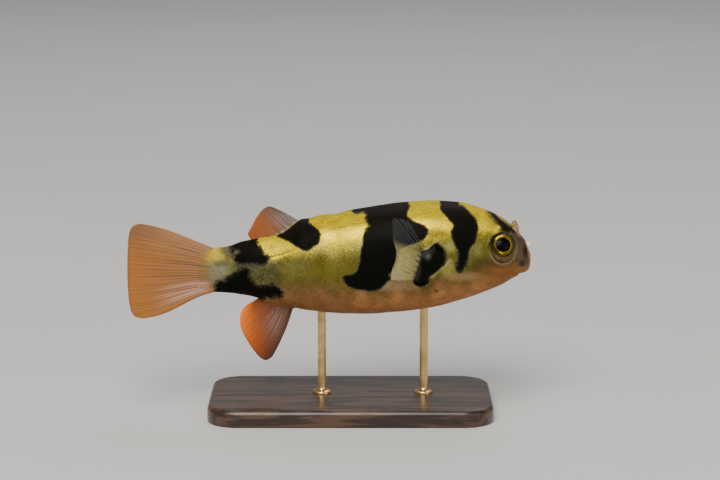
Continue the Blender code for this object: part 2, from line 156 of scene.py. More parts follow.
OVER_BACK, UNDER_BELLY = 46.0, 16.0
BLACK_SHAPES = {
    "forehead": (
        (29.9, 39.6), (30.4, 38.6), (30.9, 37.9), (31.4, 37.1), (31.9, 36.4), (32.4, 35.9),
        (32.7, 35.2), (33.2, 34.8), (34.2, 34.6), (35.2, 34.6), (35.0, 35.0), (33.9, 35.9),
        (32.9, 36.85), (32.1, 37.75), (31.5, 38.8), (31.0, 39.8),
    ),
    "nape": (
        (20.9, OVER_BACK), (21.1, 40.0), (21.25, 38.8), (22.4, 37.3), (23.6, 35.9), (23.25, 34.7),
        (23.4, 33.2), (24.0, 31.9), (24.5, 30.7), (24.4, 29.0), (24.1, 27.8), (24.6, 26.9),
        (25.1, 27.0), (25.7, 27.8), (26.2, 29.0), (26.4, 30.3), (27.0, 31.7), (27.8, 33.2),
        (28.15, 35.2), (27.7, 36.9), (26.7, 38.2), (25.2, 39.5), (24.4, 40.3), (24.3, OVER_BACK),
    ),
    "saddle": (
        (14.9, OVER_BACK), (14.9, 40.2), (15.2, 39.6), (14.7, 38.5), (14.7, 37.7), (15.3, 37.0),
        (16.3, 36.4), (17.6, 35.9), (18.4, 35.4), (18.7, 34.7), (18.4, 33.9), (17.8, 33.1),
        (16.4, 32.6), (14.6, 31.9), (13.3, 31.1), (13.0, 29.8), (12.6, 28.2), (11.9, 27.0),
        (11.2, 26.2), (11.5, 25.5), (10.6, 24.6), (9.7, 23.7), (8.6, 23.2), (6.5, 23.3),
        (4.2, 23.8), (3.3, 24.4), (2.7, 25.4), (2.8, 26.0), (4.2, 26.3), (5.2, 26.9), (5.7, 28.2),
        (5.9, 30.2), (6.3, 32.2), (6.7, 34.4), (7.2, 35.2), (7.5, 36.1), (6.9, 37.2), (7.0, 38.0),
        (6.3, 38.5), (4.3, 38.7), (2.8, OVER_BACK),
    ),
    "back spot": (
        (-6.1, OVER_BACK), (-4.1, OVER_BACK), (-4.0, 37.0), (-3.5, 36.2), (-3.0, 35.5),
        (-2.2, 34.9), (-1.8, 33.9), (-1.9, 33.0), (-2.5, 32.1), (-3.2, 31.6), (-4.1, 31.0),
        (-5.1, 31.1), (-6.2, 31.8), (-8.0, 32.9), (-9.9, 33.8), (-8.9, 34.25), (-7.9, 34.95),
        (-7.0, 35.8), (-6.4, 36.6), (-6.1, 37.4),
    ),
    "stalk top": (
        (-13.9, OVER_BACK), (-13.7, 33.0), (-13.4, 32.0), (-12.8, 31.1), (-12.3, 30.1),
        (-11.4, 29.5), (-11.9, 28.8), (-12.9, 28.2), (-14.5, 28.4), (-16.8, 28.4), (-18.0, 28.9),
        (-18.1, 29.8), (-17.3, 30.6), (-17.7, 31.3), (-18.9, 31.7), (-18.9, OVER_BACK),
    ),
    "stalk under": (
        (-21.7, UNDER_BELLY), (-21.6, 24.3), (-20.0, 25.1), (-19.2, 25.9), (-17.9, 26.7),
        (-16.6, 27.4), (-15.4, 27.3), (-15.2, 25.8), (-14.6, 24.9), (-13.6, 24.1), (-12.0, 24.2),
        (-10.6, 24.2), (-9.6, 23.6), (-9.0, 22.7), (-9.5, 22.2), (-11.0, 21.9), (-12.8, 21.4),
        (-13.4, UNDER_BELLY),
    ),
    "pectoral lobe": (
        (20.3, 32.2), (21.3, 31.6), (22.1, 29.9), (21.8, 28.6), (21.1, 27.8), (20.3, 26.9),
        (18.8, 25.8), (18.8, 24.8), (17.4, 24.1), (16.2, 24.6), (16.1, 25.7), (16.5, 26.8),
        (16.5, 28.4), (16.9, 29.9), (17.5, 30.7), (18.8, 31.2), (19.7, 32.0),
    ),
}
# How much the edges of some shapes break up into grains, and of one around a place.
FUZZY_SHAPES = {"stalk top": 0.35, "stalk under": 0.7, "forehead": 0.5}
FUZZY_PLACES = ((24.7, 28.0, 2.4, 0.6), (7.3, 36.3, 2.2, 0.35), (-18.2, 30.6, 1.6, 0.8))
GILL_SLIT = ((20.4, 31.9), (21.3, 31.2), (21.9, 30.1), (21.7, 28.9))
FLANK_LINE = ((-1.4, 34.7), (0.1, 35.1), (3.0, 35.7), (4.3, 36.1), (7.7, 36.3), (12.0, 36.0))
# The line along which a pale sheen is painted on the pectoral lobe's rim.
LOBE_SHEEN_RIM = ((18.9, 31.0), (17.7, 30.0), (17.1, 28.5), (17.0, 27.2), (16.6, 25.7))
LOBE_STREAK = ((22.9, 29.0), (21.3, 27.5), (19.6, 25.9))
STALK_LINE = ((-15.0, 28.9), (-11.2, 29.6), (-8.8, 30.3), (-6.0, 31.5), (-1.4, 34.7))
PALE_RIDGE = (
    (-13.4, 31.9), (-8.6, 32.2), (-3.0, 33.9), (2.0, 34.7), (7.0, 35.3), (14.0, 36.0),
    (19.5, 36.3), (23.3, 36.0), (28.8, 35.9), (31.0, 35.6),
)

# Colours of the skin, in linear light.
GOLD = (0.51, 0.37, 0.0)
YELLOW = (0.56, 0.43, 0.01)
DEEP_YELLOW = (0.23, 0.17, 0.008)
DULL_YELLOW = (0.140, 0.115, 0.016)
BRIGHT_YELLOW = (1.0, 0.74, 0.015)
STRAW = (0.31, 0.27, 0.06)
BEIGE = (0.30, 0.19, 0.09)
PALE_GREEN = (0.29, 0.29, 0.09)
OLIVE = (0.115, 0.097, 0.012)
OLIVE_GREY = (0.128, 0.112, 0.024)
DARK_OLIVE = (0.068, 0.050, 0.014)
DULL_BROWN = (0.125, 0.078, 0.022)
# The browns of belly, rear belly and chin: partly the skin's own tan, partly painted shade under the
# body and a painted orange light from below.
BROWN = (0.39, 0.174, 0.064)
REAR_BROWN = (0.235, 0.118, 0.042)
CHIN_BROWN = (0.27, 0.108, 0.030)
HEAD_GREY = (0.048, 0.044, 0.024)
SNOUT_GREY = (0.090, 0.062, 0.037)
SNOUT_DARK = (0.022, 0.016, 0.011)
LIP_PINK = (0.34, 0.135, 0.062)
RING_BLUE = (0.008, 0.010, 0.009)
RING_BEIGE = (0.23, 0.150, 0.085)
BROW_GOLD = (0.34, 0.22, 0.04)
STALK_GREY = (0.056, 0.051, 0.019)
STALK_BROWN = (0.105, 0.088, 0.045)
STALK_YELLOW = (0.50, 0.40, 0.05)
STALK_PALE = (0.23, 0.215, 0.12)

# Soft patches of colour: x, height, half length, half height, colour, strength.
PATCHES = (
    (22.0, 37.8, 3.2, 2.6, GOLD, 0.8),
    # a deeper yellow painted as soft shade beside the saddle's right lobe
    (19.8, 34.3, 2.2, 1.0, DEEP_YELLOW, 0.9),
    (29.1, 33.0, 2.2, 1.8, DULL_YELLOW, 0.9),
    (29.3, 30.8, 2.2, 2.0, OLIVE, 0.9),
    (29.8, 28.0, 4.0, 2.0, DARK_OLIVE, 0.9),
    (30.8, 33.0, 1.0, 2.4, DARK_OLIVE, 0.75),
    (28.2, 31.0, 0.9, 1.4, PALE_GREEN, 0.35),
    (33.2, 36.4, 2.6, 1.5, HEAD_GREY, 1.0),
    (31.0, 38.2, 1.2, 1.2, HEAD_GREY, 0.9),
    (32.2, 35.4, 0.5, 0.45, BRIGHT_YELLOW, 0.9),
    (33.9, 34.9, 1.9, 0.8, RING_BLUE, 1.0),
    (35.6, 34.0, 1.7, 2.4, SNOUT_GREY, 1.0),
    (36.5, 31.4, 2.1, 4.2, SNOUT_GREY, 1.0),
    # painted shade: the dark gap of the mouth slit along the front of the lips
    (37.35, 31.0, 0.45, 1.4, SNOUT_DARK, 0.9),
    (36.7, 28.4, 0.6, 0.6, SNOUT_DARK, 0.7),
    (22.9, 30.6, 1.3, 2.4, OLIVE, 0.75),
    (22.9, 31.6, 1.0, 0.9, PALE_GREEN, 0.7),
    (19.8, 32.6, 2.4, 0.8, OLIVE, 0.5),
    (22.0, 33.6, 1.8, 0.9, DEEP_YELLOW, 0.6),
    (22.6, 27.3, 1.6, 1.6, STRAW, 0.6),
    (14.5, 28.6, 2.4, 3.6, STRAW, 0.9),
    (12.0, 24.2, 5.0, 1.2, BEIGE, 0.8),
    (26.0, 25.9, 4.0, 0.9, BEIGE, 0.6),
    (20.3, 23.1, 0.5, 0.28, DARK_OLIVE, 0.9),
    (-4.0, 21.5, 8.0, 2.6, REAR_BROWN, 0.7),
    (-1.8, 27.4, 4.4, 2.6, OLIVE, 1.0),
    (-7.2, 27.6, 4.2, 2.4, OLIVE_GREY, 0.9),
    (3.4, 28.4, 2.2, 2.4, OLIVE, 0.8),
    (-15.2, 28.0, 5.5, 1.3, STALK_GREY, 1.0),
    (-12.0, 26.1, 3.4, 1.7, STALK_GREY, 0.85),
    (-2.0, 24.3, 8.0, 1.5, DULL_BROWN, 0.5),
    (-18.9, 30.7, 2.4, 2.1, STALK_BROWN, 1.0),
    (-21.6, 26.8, 2.6, 2.4, STALK_PALE, 1.0),
    (-20.6, 28.6, 1.8, 0.7, STALK_GREY, 0.6),
    (-21.2, 29.9, 1.2, 0.9, STALK_YELLOW, 0.9),
    (-22.4, 31.2, 1.4, 0.8, STALK_YELLOW, 0.9),
)


# ---------------------------------------------------------------- curves


def through(points, at):
    """A smooth curve through rows of points, read at places along column 0.

    Each stretch is a cubic. The slope at a row is the mean of its neighbours' slopes, and level
    where the curve turns back, so that it doesn't swing past its points.
    """
    table = np.asarray(points, float)
    x, values = table[:, 0], table[:, 1:]
    step = np.diff(x)[:, None]
    slope = np.diff(values, axis=0) / step
    lean = np.vstack([slope[:1], (slope[:-1] + slope[1:]) / 2, slope[-1:]])
    lean[1:-1][slope[:-1] * slope[1:] <= 0] = 0
    at = np.clip(np.atleast_1d(np.asarray(at, float)), x[0], x[-1])
    i = np.clip(np.searchsorted(x, at, side="right") - 1, 0, len(x) - 2)
    t = ((at - x[i]) / step[i, 0])[:, None]
    h = step[i]
    return (
        (2 * t**3 - 3 * t**2 + 1) * values[i]
        + (t**3 - 2 * t**2 + t) * h * lean[i]
        + (3 * t**2 - 2 * t**3) * values[i + 1]
        + (t**3 - t**2) * h * lean[i + 1]
    )


def seen_from_side(x, y, z):
    """Where a place lies as seen by a watcher a little above the side that it is on.

    The height is z less |y| tan(WATCH). Both grow from the point looked at as the place is nearer.
    """
    nearer = 1 + np.abs(y) / WATCH_DISTANCE
    height = z - np.abs(y) * math.tan(WATCH)
    return WATCH_X + (x - WATCH_X) * nearer, WATCH_Z + (height - WATCH_Z) * nearer


def signed_power(value, power):
    """The power of a value's size, with the value's sign."""
    return np.sign(value) * np.abs(value) ** power


def smooth(low, high, value):
    """0 up to low, 1 from high on, and the curve 3t^2 - 2t^3 between."""
    t = np.clip((value - low) / (high - low), 0, 1)
    return t * t * (3 - 2 * t)


def hill(distance, width):
    """A round hill of height 1: the bell curve exp(-(distance / width)^2)."""
    return np.exp(-((distance / width) ** 2))


def from_oval(x, z, at_x, at_z, half_x, half_z):
    """Distance from an oval's middle: 0 there and 1 on the oval."""
    return np.hypot((x - at_x) / half_x, (z - at_z) / half_z)


def rounded(points, closed, parts=6):
    """The points joined by Catmull-Rom curves, each stretch in a few short straight parts."""
    p = np.asarray(points, float)
    if closed:
        a, b, c, d = np.roll(p, 1, 0), p, np.roll(p, -1, 0), np.roll(p, -2, 0)
    else:
        padded = np.vstack([2 * p[0] - p[1], p, 2 * p[-1] - p[-2]])
        a, b, c, d = padded[:-3], padded[1:-2], padded[2:-1], padded[3:]
    t = (np.arange(parts) / parts)[None, :, None]
    a, b, c, d = a[:, None], b[:, None], c[:, None], d[:, None]
    curve = 0.5 * (
        2 * b + (c - a) * t + (2 * a - 5 * b + 4 * c - d) * t**2 + (3 * b - a - 3 * c + d) * t**3
    )
    curve = curve.reshape(-1, 2)
    return curve if closed else np.vstack([curve, p[-1:]])


def to_line(points, x, height, closed=False):
    """Distance to a line of points, and on which side: above 0 to the right of its way."""
    line = rounded(points, closed)
    start = line
    end = np.roll(line, -1, 0)
    if not closed:
        start, end = line[:-1], line[1:]
    best = np.full(x.shape, 1e9)
    side = np.zeros(x.shape)
    for (ax, ah), (bx, bh) in zip(start, end):
        dx, dh = bx - ax, bh - ah
        share = np.clip(((x - ax) * dx + (height - ah) * dh) / (dx * dx + dh * dh), 0, 1)
        away = np.hypot(x - ax - share * dx, height - ah - share * dh)
        nearer = away < best
        best = np.where(nearer, away, best)
        side = np.where(nearer, (x - ax) * dh - (height - ah) * dx, side)
    return best, side


def depth_inside(points, x, height):
    """How deep a place is inside a closed outline, and below 0 how far outside it.

    Inside is where a line towards +x crosses the outline an odd number of times.
    """
    line = rounded(points, True)
    away, _ = to_line(points, x, height, closed=True)
    inside = np.zeros(x.shape, bool)
    for (ax, ah), (bx, bh) in zip(line, np.roll(line, -1, 0)):
        if ah == bh:
            continue
        spans = (ah > height) != (bh > height)
        crossing = ax + (height - ah) * (bx - ax) / (bh - ah)
        inside ^= spans & (x < crossing)
    return np.where(inside, away, -away)


# ---------------------------------------------------------------- meshes


def grid_faces(rows, columns, closed):
    """Corner numbers of a grid's quads; with closed, the last column meets the first."""
    here = np.arange(rows * columns).reshape(rows, columns)
    beside = np.roll(here, -1, axis=1)
    quads = np.stack([here[:-1], beside[:-1], beside[1:], here[1:]], -1)
    if not closed:
        quads = quads[:, :-1]
    return quads.reshape(-1, 4)


def mesh_piece(name, points, faces, finish, replaced=(), values=None, uv=None):
    """A piece from points in millimetres: doubles merged, normals outwards, shaded smooth."""
    mesh = bpy.data.meshes.new(name)
    mesh.from_pydata((np.asarray(points) * MM).tolist(), [], faces)
    for label, data in (values or {}).items():
        kind = "FLOAT_COLOR" if data.ndim == 2 else "FLOAT"
        attribute = mesh.attributes.new(label, kind, "POINT")
        attribute.data.foreach_set("color" if data.ndim == 2 else "value", data.ravel())
    if uv is not None:
        corners = np.empty(len(mesh.loops), int)
        mesh.loops.foreach_get("vertex_index", corners)
        layer = mesh.uv_layers.new(name="Pattern")
        layer.data.foreach_set("uv", uv[corners].ravel())
    builder = bmesh.new()
    builder.from_mesh(mesh)
    bmesh.ops.remove_doubles(builder, verts=builder.verts, dist=1e-7)
    bmesh.ops.dissolve_degenerate(builder, edges=builder.edges, dist=1e-8)
    bmesh.ops.recalc_face_normals(builder, faces=builder.faces)
    builder.to_mesh(mesh)
    builder.free()
    mesh.shade_smooth()
    mesh.materials.append(finish)
    piece = bpy.data.objects.new(name, mesh)
    bpy.context.scene.collection.objects.link(piece)
    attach(piece, "root")
    if replaced:
        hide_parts(*replaced)
    return piece


def capped(grid):
    """Points and faces of a tube of rings, each end closed by a fan to the middle of its ring."""
    rows, columns = grid.shape[:2]
    points = np.vstack([grid.reshape(-1, 3), grid[0].mean(0), grid[-1].mean(0)])
    ring = np.arange(columns)
    beside = np.roll(ring, -1)
    last = (rows - 1) * columns
    pole = np.full(columns, rows * columns)
    first_fan = np.column_stack([beside, ring, pole])
    last_fan = np.column_stack([last + ring, last + beside, pole + 1])
    return points, [*grid_faces(rows, columns, True).tolist(), *first_fan.tolist(), *last_fan.tolist()]


def grid_normals(grid, closed):
    """Unit normals of a grid of points, from the differences along its rows and columns."""
    along = np.gradient(grid, axis=0)
    if closed:
        across = (np.roll(grid, -1, 1) - np.roll(grid, 1, 1)) / 2
    else:
        across = np.gradient(grid, axis=1)
    normal = np.cross(across, along)
    return normal / np.maximum(np.linalg.norm(normal, axis=-1, keepdims=True), 1e-9)


# ---------------------------------------------------------------- the body's surface


def section_points(x, back, belly, half, upper, lower, angle):
    """Points of superellipse sections: y = half cos^(2/n), z = middle + reach sin^(2/n)."""
    cosine, sine = np.cos(angle), np.sin(angle)
    power = 2 / np.where(sine > 0, upper, lower)
    middle = belly + WIDEST_LEVEL * (back - belly)
    y = half * signed_power(cosine, power)
    reach = np.where(sine > 0, back - middle, middle - belly)
    z = middle + reach * signed_power(sine, power)
    y = y + np.sign(cosine) * swelling(x, z) * np.abs(cosine) ** 0.5
    return np.stack([x + 0 * y, y, z], -1)


def body_surface(x, angle):
    """Points of the plain body at lengths x and angles round the section; 0 is the left side."""
    x, angle = np.broadcast_arrays(np.asarray(x, float), np.asarray(angle, float))
    back, belly, half = through(BODY_SECTIONS, x.ravel()).T
    upper, lower = through(BODY_SQUARENESS, x.ravel()).T
    points = section_points(x.ravel(), back, belly, half, upper, lower, angle.ravel())
    return points.reshape(*x.shape, 3)


def swelling(x, z):
    """How far the orbit and the pectoral lobe stand out: flat-topped hills exp(-distance^4)."""
    orbit = np.hypot(x - ORBIT_X, z - ORBIT_Z) / ORBIT_REACH
    along = (z - LOBE_Z) * math.cos(LOBE_LEAN) + (x - LOBE_X) * math.sin(LOBE_LEAN)
    across = (x - LOBE_X) * math.cos(LOBE_LEAN) - (z - LOBE_Z) * math.sin(LOBE_LEAN)
    lobe = np.hypot(along / LOBE_HALF_LENGTH, across / LOBE_HALF_WIDTH)
    return ORBIT_SWELL * np.exp(-(orbit**4)) + LOBE_SWELL * np.exp(-(lobe**4))


def surface_normal(x, angle):
    """The outward unit normal of the body surface, from small steps along it and round it."""
    nudge = 1e-3
    along = body_surface(x + nudge, angle) - body_surface(x - nudge, angle)
    around = body_surface(x, angle + nudge) - body_surface(x, angle - nudge)
    normal = np.cross(around, along)
    normal /= np.linalg.norm(normal, axis=-1, keepdims=True)
    outward = body_surface(x, angle) - body_surface(x, angle + math.pi)
    return normal * np.sign(np.sum(normal * outward, -1, keepdims=True))


def angles_at_height(x, z, side):
    """The angles round the sections at lengths x where the skin of one side is at heights z."""
    angles = np.linspace(-math.pi / 2, math.pi / 2, 721)
    if side == RIGHT:
        angles = math.pi - angles
    heights = body_surface(x[:, None], angles[None, :])[..., 2]
    return angles[np.argmin(np.abs(heights - z[:, None]), axis=1)]


# ---------------------------------------------------------------- forms of the skin
# Each function gives how far the skin rises, in millimetres, at (x, seen height) or (x, y, z). An
# oval is its middle and half its size both ways: along x and up, or for the brow x and y.

GILL_DEPTH, GILL_WIDTH = 0.75, 0.24
COVER_RISE, COVER_WIDTH, COVER_AHEAD = 0.20, 0.45, 0.62
LOBE_STEP, LOBE_CREASE, LOBE_CREASE_WIDTH = 0.30, 0.13, 0.22
LOBE_DOME, LOBE_DOME_RISE = (18.8, 28.9, 1.35, 1.8225), 0.32
LOBE_END, LOBE_END_RISE = (17.4, 25.6, 1.15, 1.15), 0.25
LINE_DEPTH, FLANK_LINE_WIDTH, STALK_LINE_WIDTH = 0.055, 0.16, 0.18
# Fleshy ridges that fins grow from: where each starts, is full, fades and ends, and its height.
DORSAL_FOOT = (-15.4, -13.6, -6.6, -5.2, 0.15)
ANAL_FOOT = (-13.8, -12.4, -7.2, -6.2, 0.6)
FOOT_WIDTH = 0.8
MUZZLE, MUZZLE_HOLLOW = (36.1, 31.2, 0.8, 2.2), 0.16
CHEEK, CHEEK_RISE = (30.2, 28.6, 2.4, 2.2), 0.15
BROW, BROW_HOLLOW = (32.6, 0.0, 2.6, 2.0), 0.18
CHIN_X, CHIN_Z, CHIN_LEAN, CHIN_CREASE, CHIN_WIDTH = 36.1, 26.3, 0.25, 0.16, 0.22
MOUND_RISE, MOUND_WIDTH = 0.34, 0.85
LID_RISE, LID_OUT, LID_WIDTH = 0.24, 0.22, 0.24
FURROW_DEPTH, FURROW_RADIUS, FURROW_WIDTH = 0.10, 3.5, 0.35
ORBIT_PIT = 1.6


def gill_rise(x, height):
    """The gill opening: a slit of bell-curve section, with its cover's edge raised before it."""
    away, side = to_line(GILL_SLIT, x, height)
    ahead = np.where(side > 0, away, -away)
    cover = COVER_RISE * hill(ahead + COVER_AHEAD, COVER_WIDTH) * (side < 0)
    return cover - GILL_DEPTH * hill(ahead, GILL_WIDTH)


def lobe_rise(x, height):
    """The fleshy foot of the pectoral fin.

    It is a step at the lobe's outline with a crease round it, a bell-curve dome above and another
    at its lower end.
    """
    depth = depth_inside(BLACK_SHAPES["pectoral lobe"], x, height)
    step = LOBE_STEP * smooth(-0.25, 0.5, depth)
    dome = LOBE_DOME_RISE * hill(from_oval(x, height, *LOBE_DOME), 1)
    end = LOBE_END_RISE * hill(from_oval(x, height, *LOBE_END), 1)
    return step + dome + end - LOBE_CREASE * hill(depth + 0.3, LOBE_CREASE_WIDTH)


def line_rise(x, height):
    """The lateral line: a shallow crease of bell-curve section along flank and tail stalk."""
    flank, _ = to_line(FLANK_LINE, x, height)
    stalk, _ = to_line(STALK_LINE, x, height)
    return -LINE_DEPTH * (hill(flank, FLANK_LINE_WIDTH) + hill(stalk, STALK_LINE_WIDTH))


def foot_ridge(x, start, full, fading, end, height):
    """The height of a ridge that rises from start to full and falls from fading to end."""
    return height * smooth(start, full, x) * (1 - smooth(fading, end, x))


def fin_feet_rise(x, y, z, middle):
    """Fleshy ridges along back and belly that the fins grow from: bell curves of y."""
    upper = foot_ridge(x, *DORSAL_FOOT) * (z > middle)
    lower = foot_ridge(x, *ANAL_FOOT) * (z < middle)
    return (upper + lower) * hill(y, FOOT_WIDTH)


def head_rise(x, y, z):
    """Hollows beside the snout, under the chin and between the eyes, and a full cheek.

    Each is a bell curve, of the distance from its oval's middle or from the chin's leaning crease.
    """
    muzzle = hill(from_oval(x, z, *MUZZLE), 1) * smooth(1.5, 3.0, np.abs(y))
    chin = hill(x - CHIN_X - CHIN_LEAN * (z - CHIN_Z), CHIN_WIDTH) * smooth(29.0, 27.4, z)
    brow = hill(from_oval(x, y, *BROW), 1) * (z > 34)
    cheek = hill(from_oval(x, z, *CHEEK), 1)
    return CHEEK_RISE * cheek - MUZZLE_HOLLOW * muzzle - CHIN_CREASE * chin - BROW_HOLLOW * brow


def nostril_rise(x, y, z):
    """A low mound, a bell curve of the distance from its foot, that carries each nostril's horn."""
    away = np.linalg.norm(np.stack([x, np.abs(y), z], -1) - NOSTRIL_FOOT, axis=-1)
    return MOUND_RISE * hill(away, MOUND_WIDTH)


def uneven_rise(x, y, z):
    """Slight unevenness of living skin: a slow and a quick product of sines of the place."""
    slow = np.sin(0.55 * x + 0.9 * z) * np.sin(0.7 * z - 0.4 * x + 0.5 * y)
    quick = np.sin(1.9 * x - 1.3 * z + 0.8 * np.sin(0.9 * y)) * np.sin(2.3 * z + 1.1 * y)
    return 0.045 * slow + 0.014 * quick


NOSTRIL_FOOT = np.abs(body_surface(NOSTRIL_X, NOSTRIL_ANGLE))


def eye_parts(points):
    """Distance from the nearer eye's axis and height along it, for points on either side.

    The distance counts less below the axis, so that its rings are ovals that hang down.
    """
    mirrored = np.stack([points[..., 0], np.abs(points[..., 1]), points[..., 2]], -1)
    away = mirrored - EYE_PLACE
    up = away @ EYE_AXIS
    out = np.linalg.norm(away - up[..., None] * EYE_AXIS, axis=-1)
    below = np.clip(-away[..., 2] / np.maximum(out, 1e-6), 0, 1)
    return out * (1 - LID_DROOP * below**2), up


def orbit_shift(points):
    """Moves skin along the eye's axis: a soft lid fold round the eye, a pit under the eyeball.

    The fold is a bell curve of the distance from the axis, heaviest at the front and below, with a
    faint furrow outside it. The pit is a smooth step. Nothing moves deep behind the eye.
    """
    out, up = eye_parts(points)
    ahead = points[..., 0] - EYE_PLACE[0]
    below = EYE_PLACE[2] - points[..., 2]
    heavy = 0.6 + 0.4 * np.clip((ahead + below) / 3, -1, 1)
    lid = LID_RISE * heavy * hill(out - LID_RADIUS - LID_OUT, LID_WIDTH)
    furrow = FURROW_DEPTH * hill(out - FURROW_RADIUS, FURROW_WIDTH)
    pit = ORBIT_PIT * smooth(LID_RADIUS + 0.12, LID_RADIUS - 0.28, out)
    shift = (lid - furrow - pit) * smooth(-2.6, -1.4, up)
    side = np.where(points[..., 1] < 0, -1.0, 1.0)
    axis = EYE_AXIS * np.stack([np.ones_like(side), side, np.ones_like(side)], -1)
    return shift[..., None] * axis


# ---------------------------------------------------------------- skin

# The tail fin's rays run on over the skin's end, from its root's line to its edge.
TAIL_RAYS = 11
TAIL_ROOT_X, TAIL_ROOT_TOP, TAIL_ROOT_DEPTH = -20.9, 31.0, 7.9
TAIL_REACH, TAIL_SPREAD_UP, TAIL_SPREAD = 17.3, 5.15, 10.4

SKIN_COLUMNS = 236
BODY_ROWS = ((-26.2, -22.0, 22), (-22.0, 13.5, 150), (13.5, 24.0, 74), (24.0, 36.5, 92))
LIP_ROWS = 40
LIP_STEPS = LIP_SECTIONS[-1][0]

# The skin's colours from belly to back: share of the body's height and colour. The belly's
# brown is partly painted shade under the body and a painted orange light from below.
TONES = (
    (-0.1, *BROWN), (0.07, *BROWN), (0.21, *DULL_BROWN), (0.36, *OLIVE), (0.48, *OLIVE_GREY),
    (0.60, *STRAW), (0.72, *YELLOW), (0.85, *GOLD),
)
FAR_OUTSIDE, DEEPEST = -9.0, 4.0  # limits of the depth in the black
BROW_MARK = (33.4, 1.0, 1.9, 0.045)  # x, share of the body's height, and half its size in each
BROW_CLEARING = 1.3  # by how much the golden mark lowers the depth in the black
FOLDS, FOLD_RISE = 14, 0.035
TAIL_BLEND_X, TAIL_BLEND, TAIL_RIDGE_RISE = -21.2, 3.8, 0.05


def skin_sections():
    """x at top and bottom, back, belly, half width and both squarenesses for each row."""
    x = np.concatenate([np.linspace(a, b, n, endpoint=False) for a, b, n in BODY_ROWS])
    body = np.column_stack([x, x, through(BODY_SECTIONS, x), through(BODY_SQUARENESS, x)])
    lips = through(LIP_SECTIONS, np.linspace(0, LIP_STEPS, LIP_ROWS))
    square = through(BODY_SQUARENESS, lips[:, 0])
    return np.vstack([body, np.column_stack([lips, square])]).T


def even_angles(count):
    """Angles whose points lie equally far apart round the body's thickest section."""
    fine = np.linspace(-math.pi / 2, 1.5 * math.pi, 2001)
    ring = body_surface(np.full_like(fine, 12.5), fine)
    run = np.concatenate([[0], np.cumsum(np.linalg.norm(np.diff(ring, axis=0), axis=1))])
    return np.interp(np.arange(count) / count * run[-1], run, fine)


def brow_mark(x, rise):
    """How much a place lies on the golden oval along the middle of the forehead."""
    return smooth(1.15, 0.7, from_oval(x, rise, *BROW_MARK))


def skin_tone(x, height, rise, out, lips):
    """Colour of the skin without its black, from the belly's brown up to the back's yellow. The
    brown of belly and chin is partly painted shade and a painted orange light from below.

    Colours are laid over each other, each by its own weight from 0 to 1.
    """
    wobble = 0.03 * np.sin(0.8 * x) + 0.02 * np.sin(1.7 * x + 1.0)
    steps, *channels = np.array(TONES).T
    tone = np.stack([np.interp(rise + wobble, steps, channel) for channel in channels], -1)

    def lay(colour, weight):
        """Lays a colour over the tone, as strongly as its weight says."""
        weight = np.clip(weight, 0, 1)[..., None]
        tone[:] = tone * (1 - weight) + np.array(colour) * weight

    away, side = to_line(PALE_RIDGE, x, height)
    lay(BRIGHT_YELLOW, 0.95 * hill(away, np.where(side > 0, 1.9, 0.85)))
    for *oval, colour, strength in PATCHES:
        lay(colour, strength * smooth(1.5, 0.3, from_oval(x, height, *oval)))
    lay(DEEP_YELLOW, 0.4 * hill(to_line(FLANK_LINE, x, height)[0], 0.14))
    away, side = to_line(STALK_LINE, x, height)
    above = np.where(side > 0, -away, away)
    ends = smooth(-11.6, -10.8, x) * smooth(-4.8, -6.0, x)
    lay(BRIGHT_YELLOW, ends * hill(above + 0.22, 0.24))
    lay(DARK_OLIVE, 0.6 * ends * hill(above - 0.12, 0.14))
    lay(PALE_GREEN, 0.9 * hill(to_line(LOBE_STREAK, x, height)[0], 0.32))
    snout = smooth(34.8, 36.0, x) * smooth(27.0, 28.2, height)
    # the lower head's brown: partly its own, partly painted shade and painted orange light from below
    lay(CHIN_BROWN, 0.9 * smooth(26.0, 33.0, x) * smooth(0.36, 0.20, rise) * (1 - snout))
    lay(LIP_PINK, lips)
    lay(BROW_GOLD, brow_mark(x, rise))
    lay_eye_rings(lay, x - EYE_PLACE[0], height - EYE_PLACE[2] + 1.0, out)
    return tone


def lay_eye_rings(lay, ahead, above, out):
    """A dark ring over the eye's front, and a pale rim below it that widens towards the front."""
    lay(RING_BLUE, smooth(3.3, 2.8, out) * smooth(0.6, 2.2, above - 0.5 * ahead))
    away = np.maximum(np.hypot(ahead, above), 0.1)
    front = np.clip(ahead / away, 0, 1)
    rim = smooth(-0.5, 0.15, (0.6 * ahead - 0.8 * above) / away)
    lay(RING_BEIGE, 0.85 * rim * hill(out - LID_RADIUS - 0.25 - 0.2 * front, 0.2 + 0.15 * front))


def black_fields(x, height, share):
    """How deep a place is in the black markings, and how much their edges break up there."""
    band = np.full(x.shape, FAR_OUTSIDE)
    fuzz = np.zeros(x.shape)
    for name, outline in BLACK_SHAPES.items():
        depth = depth_inside(outline, x, height)
        band = np.maximum(band, depth)
        fuzz = np.maximum(fuzz, FUZZY_SHAPES.get(name, 0.0) * smooth(-2.2, -0.8, depth))
    for at_x, at_height, reach, amount in FUZZY_PLACES:
        fuzz = np.maximum(fuzz, amount * hill(np.hypot(x - at_x, height - at_height), reach))
    band = band - BROW_CLEARING * brow_mark(x, share)
    return np.clip(band, -DEEPEST, DEEPEST), fuzz


